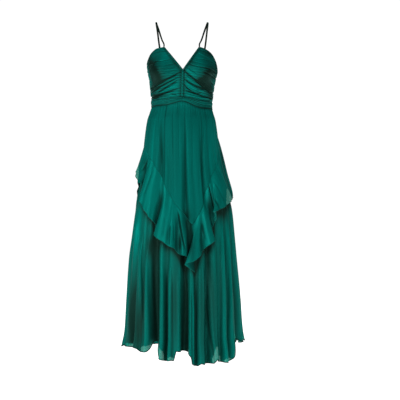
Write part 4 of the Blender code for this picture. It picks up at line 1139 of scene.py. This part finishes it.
def binding(side, name, node):
    """The bound neckline edge from the cup's apex to the point of the V."""
    share, step = side_steps(81), down_steps(9)
    across, height = neckline(side, share, BINDING_DROP * step)
    across = across + side * NECK_GAP / 2
    arch = np.sin(math.pi * step)
    pucker = BINDING_PUCKER * np.sin(2 * math.pi * 17 * share + 3 * np.sin(9 * share)) * arch
    raised = BINDING_RAISE + BINDING_CROWN * arch**0.6 + pucker
    grid = bodice(angle_at(across, height), height, raised)
    sewn = bodice(angle_at(across, height), height, raised + THREAD_RAISE)[:, STITCHED_ROW]
    stitches = grown(name + "_stitches", [sewn], row, {
        "Spacing": 0.0024, "Length": 0.0015, "Thickness": 0.0005, "Finish": neck_thread})
    if side > 0:
        grid = grid[::-1]
        share = share[::-1]
    # Painted shade, darker along both edges of the binding where it turns under.
    shade = 0.42 + 0.50 * np.abs(2 * step - 1) ** 2.5 * np.ones_like(share)
    piece = cloth(name, grid, step * 0.012, share * 0.13, shade, (ruched_satin,),
                  wall=BINDING_WALL)
    fitted(piece, [node])


binding(-1, "neck_edge_left", "neck_binding_left")
binding(1, "neck_edge_right", "neck_binding_right")

# ---------------------------------------------------------------- centre strip
# A narrow strip of the same satin chiffon is gathered crosswise. It is sewn over the seam between
# the cups, from the point of the V down to the waist band.
GATHER_CROWN = 0.0014
STRIP_GATHERS = 11
strip_step, strip_down = side_steps(13), down_steps(141)
strip_aside = mix(-1, 1, strip_step) * GATHER_HALF_WIDTH
strip_slope = (APEX_HEIGHT - V_NECK_HEIGHT) / (APEX_X + CENTRE_X)
strip_top = V_NECK_HEIGHT - BINDING_DROP + 2.5 * TUCK + np.abs(strip_aside) * strip_slope
strip_foot = float(height_of(BAND_TOP, 0)) + SEAM_GAP
strip_height = mix(strip_top, strip_foot, strip_down)
strip_across = mix(CENTRE_X, GATHER_FOOT_X, strip_down) + strip_aside
strip_wander = strip_down + 0.02 * ring(2.3 * strip_down + 0.5 * strip_step)
strip_ripple = np.abs(np.sin(math.pi * STRIP_GATHERS * strip_wander)) ** 0.9
strip_crown = GATHER_CROWN * np.sin(math.pi * strip_step) ** 0.7
strip_raise = SEAM_GAP + strip_crown * (0.8 + 0.8 * strip_ripple)
strip_raise = mix(-UNDER_BAND, strip_raise, eased((strip_down - 0.04) / 0.08))
strip_grid = bodice(angle_at(strip_across, strip_height), strip_height, strip_raise)
# Painted shade in the hollows between the gathers and along both edges of the strip.
strip_shade = 0.15 + 0.55 * (1 - strip_ripple) + 0.45 * np.abs(2 * strip_step - 1) ** 3
centre_strip = cloth("centre_strip", strip_grid, strip_down * 0.12, strip_step * 0.012, strip_shade,
                     (ruched_satin,))
fitted(centre_strip, ["centre_gather"])

# ---------------------------------------------------------------- waist band
# The waist band is satin chiffon cut on the bias and gathered into soft rolls. Its two halves
# meet at the front, and it is sewn over the bodice's lower edge and the top of the skirt.
FRONT_MEETING = 1.0
FINER_GATHER = 0.00025
# Depth of a roll at which the line under it is painted fully dark.
ROLL_DARK_DEPTH = 0.0026

# Lines between the rolls of a gathered band, from its upper edge down: where each starts and
# ends, the depth of the roll above it at both ends, and the stretch over which it is sharp.
Gather = namedtuple("Gather", "centre side centre_depth side_depth sharp_from sharp_to")
BAND_LINES = in_metres(Gather, "centre_depth side_depth", [
    (0, 0, 0, 0, 0, 1), (0.26, 0.2, 2.2, 2.4, 0, 0.5), (0.46, 0.5, 2.6, 3, 0, 1),
    (0.66, 0.7, 2, 2, 0.1, 0.6), (0.84, 0.8, 2.4, 2.6, 0.3, 1), (1, 1, 1.8, 2, 0, 1),
])


def gathered(lines, down, away):
    """Raise of cloth gathered into uneven rolls between the lines of a table, and how hollow it
    is, from 0 on a roll to 1 in a sharp line; the hollow sets the band's painted shade."""
    def sharpness(line):
        start = 1 if line.sharp_from <= 0 else eased((away - line.sharp_from) / 0.2)
        end = 1 if line.sharp_to >= 1 else eased((line.sharp_to - away) / 0.2)
        return start * end * np.ones_like(away)

    depths = [mix(line.centre_depth, line.side_depth, away) for line in lines]
    sharp = [sharpness(line) for line in lines]
    floors = [0.8 * (1 - sharp[i]) * (depths[i] + depths[min(i + 1, len(lines) - 1)]) / 2
              for i in range(len(lines))]
    raised = np.zeros(np.broadcast(down, away).shape)
    hollow = np.zeros_like(raised)
    for i in range(1, len(lines)):
        top = mix(lines[i - 1].centre, lines[i - 1].side, away)
        foot = mix(lines[i].centre, lines[i].side, away)
        share = (down - top) / (foot - top)
        inside = (share >= 0) & ((share < 1) | (i == len(lines) - 1))
        share = np.clip(share, 0, 1)
        bulge = (4 * share * (1 - share)) ** 0.6
        floor = mix(floors[i - 1], floors[i], share)
        raised += inside * (floor + (depths[i] - floor) * bulge)
        keen = mix(sharp[i - 1], sharp[i], share)
        hollow += inside * (1 - bulge) * keen * np.clip(depths[i] / ROLL_DARK_DEPTH, 0, 1)
    return raised, hollow


def band(side, name, node):
    """One half of the waist band, from the centre front round to the zip."""
    last = side * float(zip_edge_angle(WAIST_HEIGHT))
    angle = np.linspace(FRONT_MEETING, last, 301)[:, None]
    down = down_steps(41)
    height = mix(height_of(BAND_TOP, angle), height_of(WAIST_SEAM, angle), down)
    sway = 0.06 * wave(angle * 5 + side * 40) + 0.03 * wave(angle * 13)
    line = down + sway * np.sin(math.pi * down)
    away = np.abs(angle - FRONT_MEETING) / abs(last - FRONT_MEETING)
    round_once = np.abs((away * 2.0) % 2 - 1)
    raised, hollow = gathered(BAND_LINES, line, 1 - round_once)
    ends = eased((0.02 + np.minimum(away, 1 - away)) / 0.05)
    finer = FINER_GATHER * ring(6 * line + angle / 60) * np.sin(math.pi * down)
    grid = bodice(angle, height, raised * mix(0.5, 1, ends) + finer)
    # Painted shade in the sharp lines between the rolls and along the band's upper and lower seams.
    shade = 0.22 + hollow * 0.90 + 0.70 * bell(down / 0.13) + 0.80 * bell((1 - down) / 0.15)
    if side < 0:
        grid, angle, shade = grid[::-1], angle[::-1], shade[::-1]
    piece = cloth(name, grid, down * 0.05, np.radians(angle) * 0.12, shade, (ruched_satin,))
    fitted(piece, [node])


band(-1, "waist_roll_left", "waistband_left")
band(1, "waist_roll_right", "waistband_right")

# ---------------------------------------------------------------- back panels
# The back of the bodice is two plain panels of the same satin chiffon that meet at the zip. They
# are drawn a little at the waist, and their lower edges are sewn in under the waist band.
BACK_DRAW = 0.0007
# Depth of a fold at which it is painted fully dark.
BACK_DARK_DEPTH = 0.0020


def rear(side, name, node, folds):
    """A plain back bodice panel from the side seam to the zip."""
    away, down = side_steps(121), down_steps(61)
    beside_zip = mix(float(height_of(TOP_EDGE, 180)), float(height_of(BAND_TOP, 180)), down)
    angle = side * mix(90, zip_edge_angle(beside_zip), away)
    height = mix(height_of(TOP_EDGE, angle), height_of(BAND_TOP, angle) + SEAM_GAP, down)
    drawn = ring(4.5 * down + 0.5 * away) * BACK_DRAW
    drawn = drawn * eased(away / 0.15) * eased((1 - away) / 0.2) * np.sin(math.pi * down)
    foot = 1 - eased((1 - down) / 0.03)
    beside = 1 - eased((np.abs(angle) - 90) / 16)
    depth = drawn_folds(folds, angle, height) * beside * (1 - foot)
    grid = bodice(angle, height - TUCK * foot, drawn - depth - UNDER_BAND * foot)
    # Painted shade in the drawn folds.
    shade = 0.10 + np.clip((depth - drawn) / BACK_DARK_DEPTH, 0, 1) * 0.35
    if side < 0:
        grid, angle, shade = grid[::-1], angle[::-1], shade[::-1]
    piece = cloth(name, grid, down * 0.12, np.radians(angle) * 0.12, shade, (ruched_satin,))
    fitted(piece, [node])


rear(-1, "back_panel_left", "back_left", FOLDS_LEFT)
rear(1, "back_panel_right", "back_right", FOLDS_RIGHT)

# ---------------------------------------------------------------- shoulder straps
# Each strap is a narrow dark satin band, folded flat and edge-stitched. It runs from the cup's
# apex over the shoulder to the top of the back.
STRAP_WIDTH = 0.0075
STRAP_WALL = 0.00144
STRAP_CROWN = 0.00025
STRAP_STITCH = 0.74
STRAP_THREAD_RAISE = 0.0003
STRAP_BACK_X = 0.078
STRAP_CURL_HUB = (0.070, 0.010, -0.090)
STRAP_LIFT = 0.0010
Stop = namedtuple("Stop", "share x y height turned")
STRAP_ROUTE = in_metres(Stop, "x y height", [
    (0.1, 78, -59, -80, 42), (0.2, 90, -47, -42, 22), (0.3, 100, -30, -12, 6),
    (0.38, 103.5, -8, -0.8, 0), (0.46, 103.5, 18, -2, 0), (0.56, 101, 46, -22, 0),
    (0.7, 95, 70, -72, 0), (0.85, 85, 83, -140, 0),
])
STRAP_GREEN = (0.012, 0.022, 0.016, 1)
STRAP_DEEP = (0.003, 0.006, 0.004, 1)
strap_satin = cloth_material("dark strap satin", STRAP_GREEN, STRAP_DEEP, 0.42, 0.10, 0.10)
strap_thread = thread_material("strap thread", (0.020, 0.034, 0.026, 1), 0.60, 1500)


def turned_about(vector, axis, degrees):
    """Turns vectors about unit axes."""
    turn = np.radians(degrees)[..., None]
    return (vector * np.cos(turn) + np.cross(axis, vector) * np.sin(turn)
            + axis * (vector * axis).sum(-1, keepdims=True) * (1 - np.cos(turn)))


def strap_band(side, name, node):
    """One shoulder strap."""
    front_angle = float(angle_at(APEX_X + STRAP_WIDTH / 2, APEX_HEIGHT))
    front = bodice(front_angle, height_of(TOP_EDGE, front_angle)) + (0, 0, STRAP_LIFT)
    back_angle = 180 - float(angle_at(STRAP_BACK_X, height_of(TOP_EDGE, 180)))
    back = bodice(back_angle, height_of(TOP_EDGE, back_angle)) + (0, 0, STRAP_LIFT)
    route = [
        Stop(0.00, front[0], front[1], front[2], 50),
        Stop(0.03, front[0], front[1], front[2] + 0.007, 50),
        *STRAP_ROUTE,
        Stop(0.97, STRAP_BACK_X, back[1], back[2] + 0.010, 0),
        Stop(1.00, STRAP_BACK_X, back[1], back[2], 0),
    ]

    def place(share):
        x, y, height, turned = read(route, np.clip(share, 0, 1))
        return np.stack([side * x, y, height], -1), turned

    share = np.linspace(0, 1, 131)
    here, turned = place(share)
    along = place(share + 0.01)[0] - place(share - 0.01)[0]
    along /= np.linalg.norm(along, axis=-1, keepdims=True)
    outward = here - np.array(STRAP_CURL_HUB) * (side, 1, 1)
    outward -= along * (outward * along).sum(-1, keepdims=True)
    outward /= np.linalg.norm(outward, axis=-1, keepdims=True)
    sideways = turned_about(np.cross(along, outward), along, side * turned)
    facing = np.cross(sideways, along)
    step = np.linspace(1, -1, 7)[:, None, None]
    grid = here + sideways * step * STRAP_WIDTH / 2 + facing * (STRAP_CROWN * (1 - step**4))
    edges = [here + sideways * edge * STRAP_WIDTH / 2 + facing * STRAP_THREAD_RAISE
             for edge in (-STRAP_STITCH, STRAP_STITCH)]
    stitches = grown(name + "_stitches", edges, row, {
        "Spacing": 0.0026, "Length": 0.0016, "Thickness": 0.0004, "Finish": strap_thread})
    piece = cloth(name, grid, side_steps(7) * STRAP_WIDTH, share[None, :] * 0.36, 0.3,
                  (strap_satin,), wall=STRAP_WALL)
    fitted(piece, [node])


strap_band(-1, "shoulder_strap_left", "strap_left")
strap_band(1, "shoulder_strap_right", "strap_right")

# ---------------------------------------------------------------- zip
# A fine invisible zip closes the centre back. Its tape lies behind the two back panels and a
# small enamelled slider with a teardrop pull hangs at the top.
ZIP_HALF_WIDTH = 0.0040
TAPE_INSET = 0.0009
TAPE_WALL = 0.0008
COIL_ASIDE = 0.00055
COIL_INSET = 0.0006
tape_satin = thread_material("zip tape", (0.003, 0.070, 0.056, 1), 0.6, 700)
zip_step, zip_down = side_steps(5), down_steps(121)
zip_height = mix(float(height_of(TOP_EDGE, 180)), ZIP_END, zip_down) * np.ones_like(zip_step)
zip_turn = rear_turn(ZIP_HALF_WIDTH, zip_height)
zip_grid, zip_out = figure(180 + mix(-zip_turn, zip_turn, zip_step), zip_height)
zip_grid = zip_grid - zip_out * TAPE_INSET
zip_piece = cloth("zip_ribbon", zip_grid, zip_step * 0.003, zip_down * 0.29, 0.4, (tape_satin,),
                  wall=TAPE_WALL)
trim(zip_piece)
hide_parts("zip_tape")

# The two rows of coils lie side by side down the middle of the tape.
coil_nylon = thread_material("zip coil nylon", (0.002, 0.050, 0.040, 1), 0.45, 1500)
coil_down = np.linspace(0.02, 1, 121)
coil_height = mix(float(height_of(TOP_EDGE, 180)), ZIP_END, coil_down)
coil_lines = []
for aside in (-COIL_ASIDE, COIL_ASIDE):
    coil_point, coil_out = figure(180 + rear_turn(aside, coil_height), coil_height)
    coil_lines.append(coil_point - coil_out * COIL_INSET)
grown("zip_coils", coil_lines, row,
      {"Spacing": 0.0014, "Length": 0.0009, "Thickness": 0.0010, "Finish": coil_nylon})

slider_enamel = thread_material("zip slider enamel", (0.002, 0.060, 0.048, 1), 0.30, 400, 0.2)
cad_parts["zip_slider"].material_slots[0].material = slider_enamel
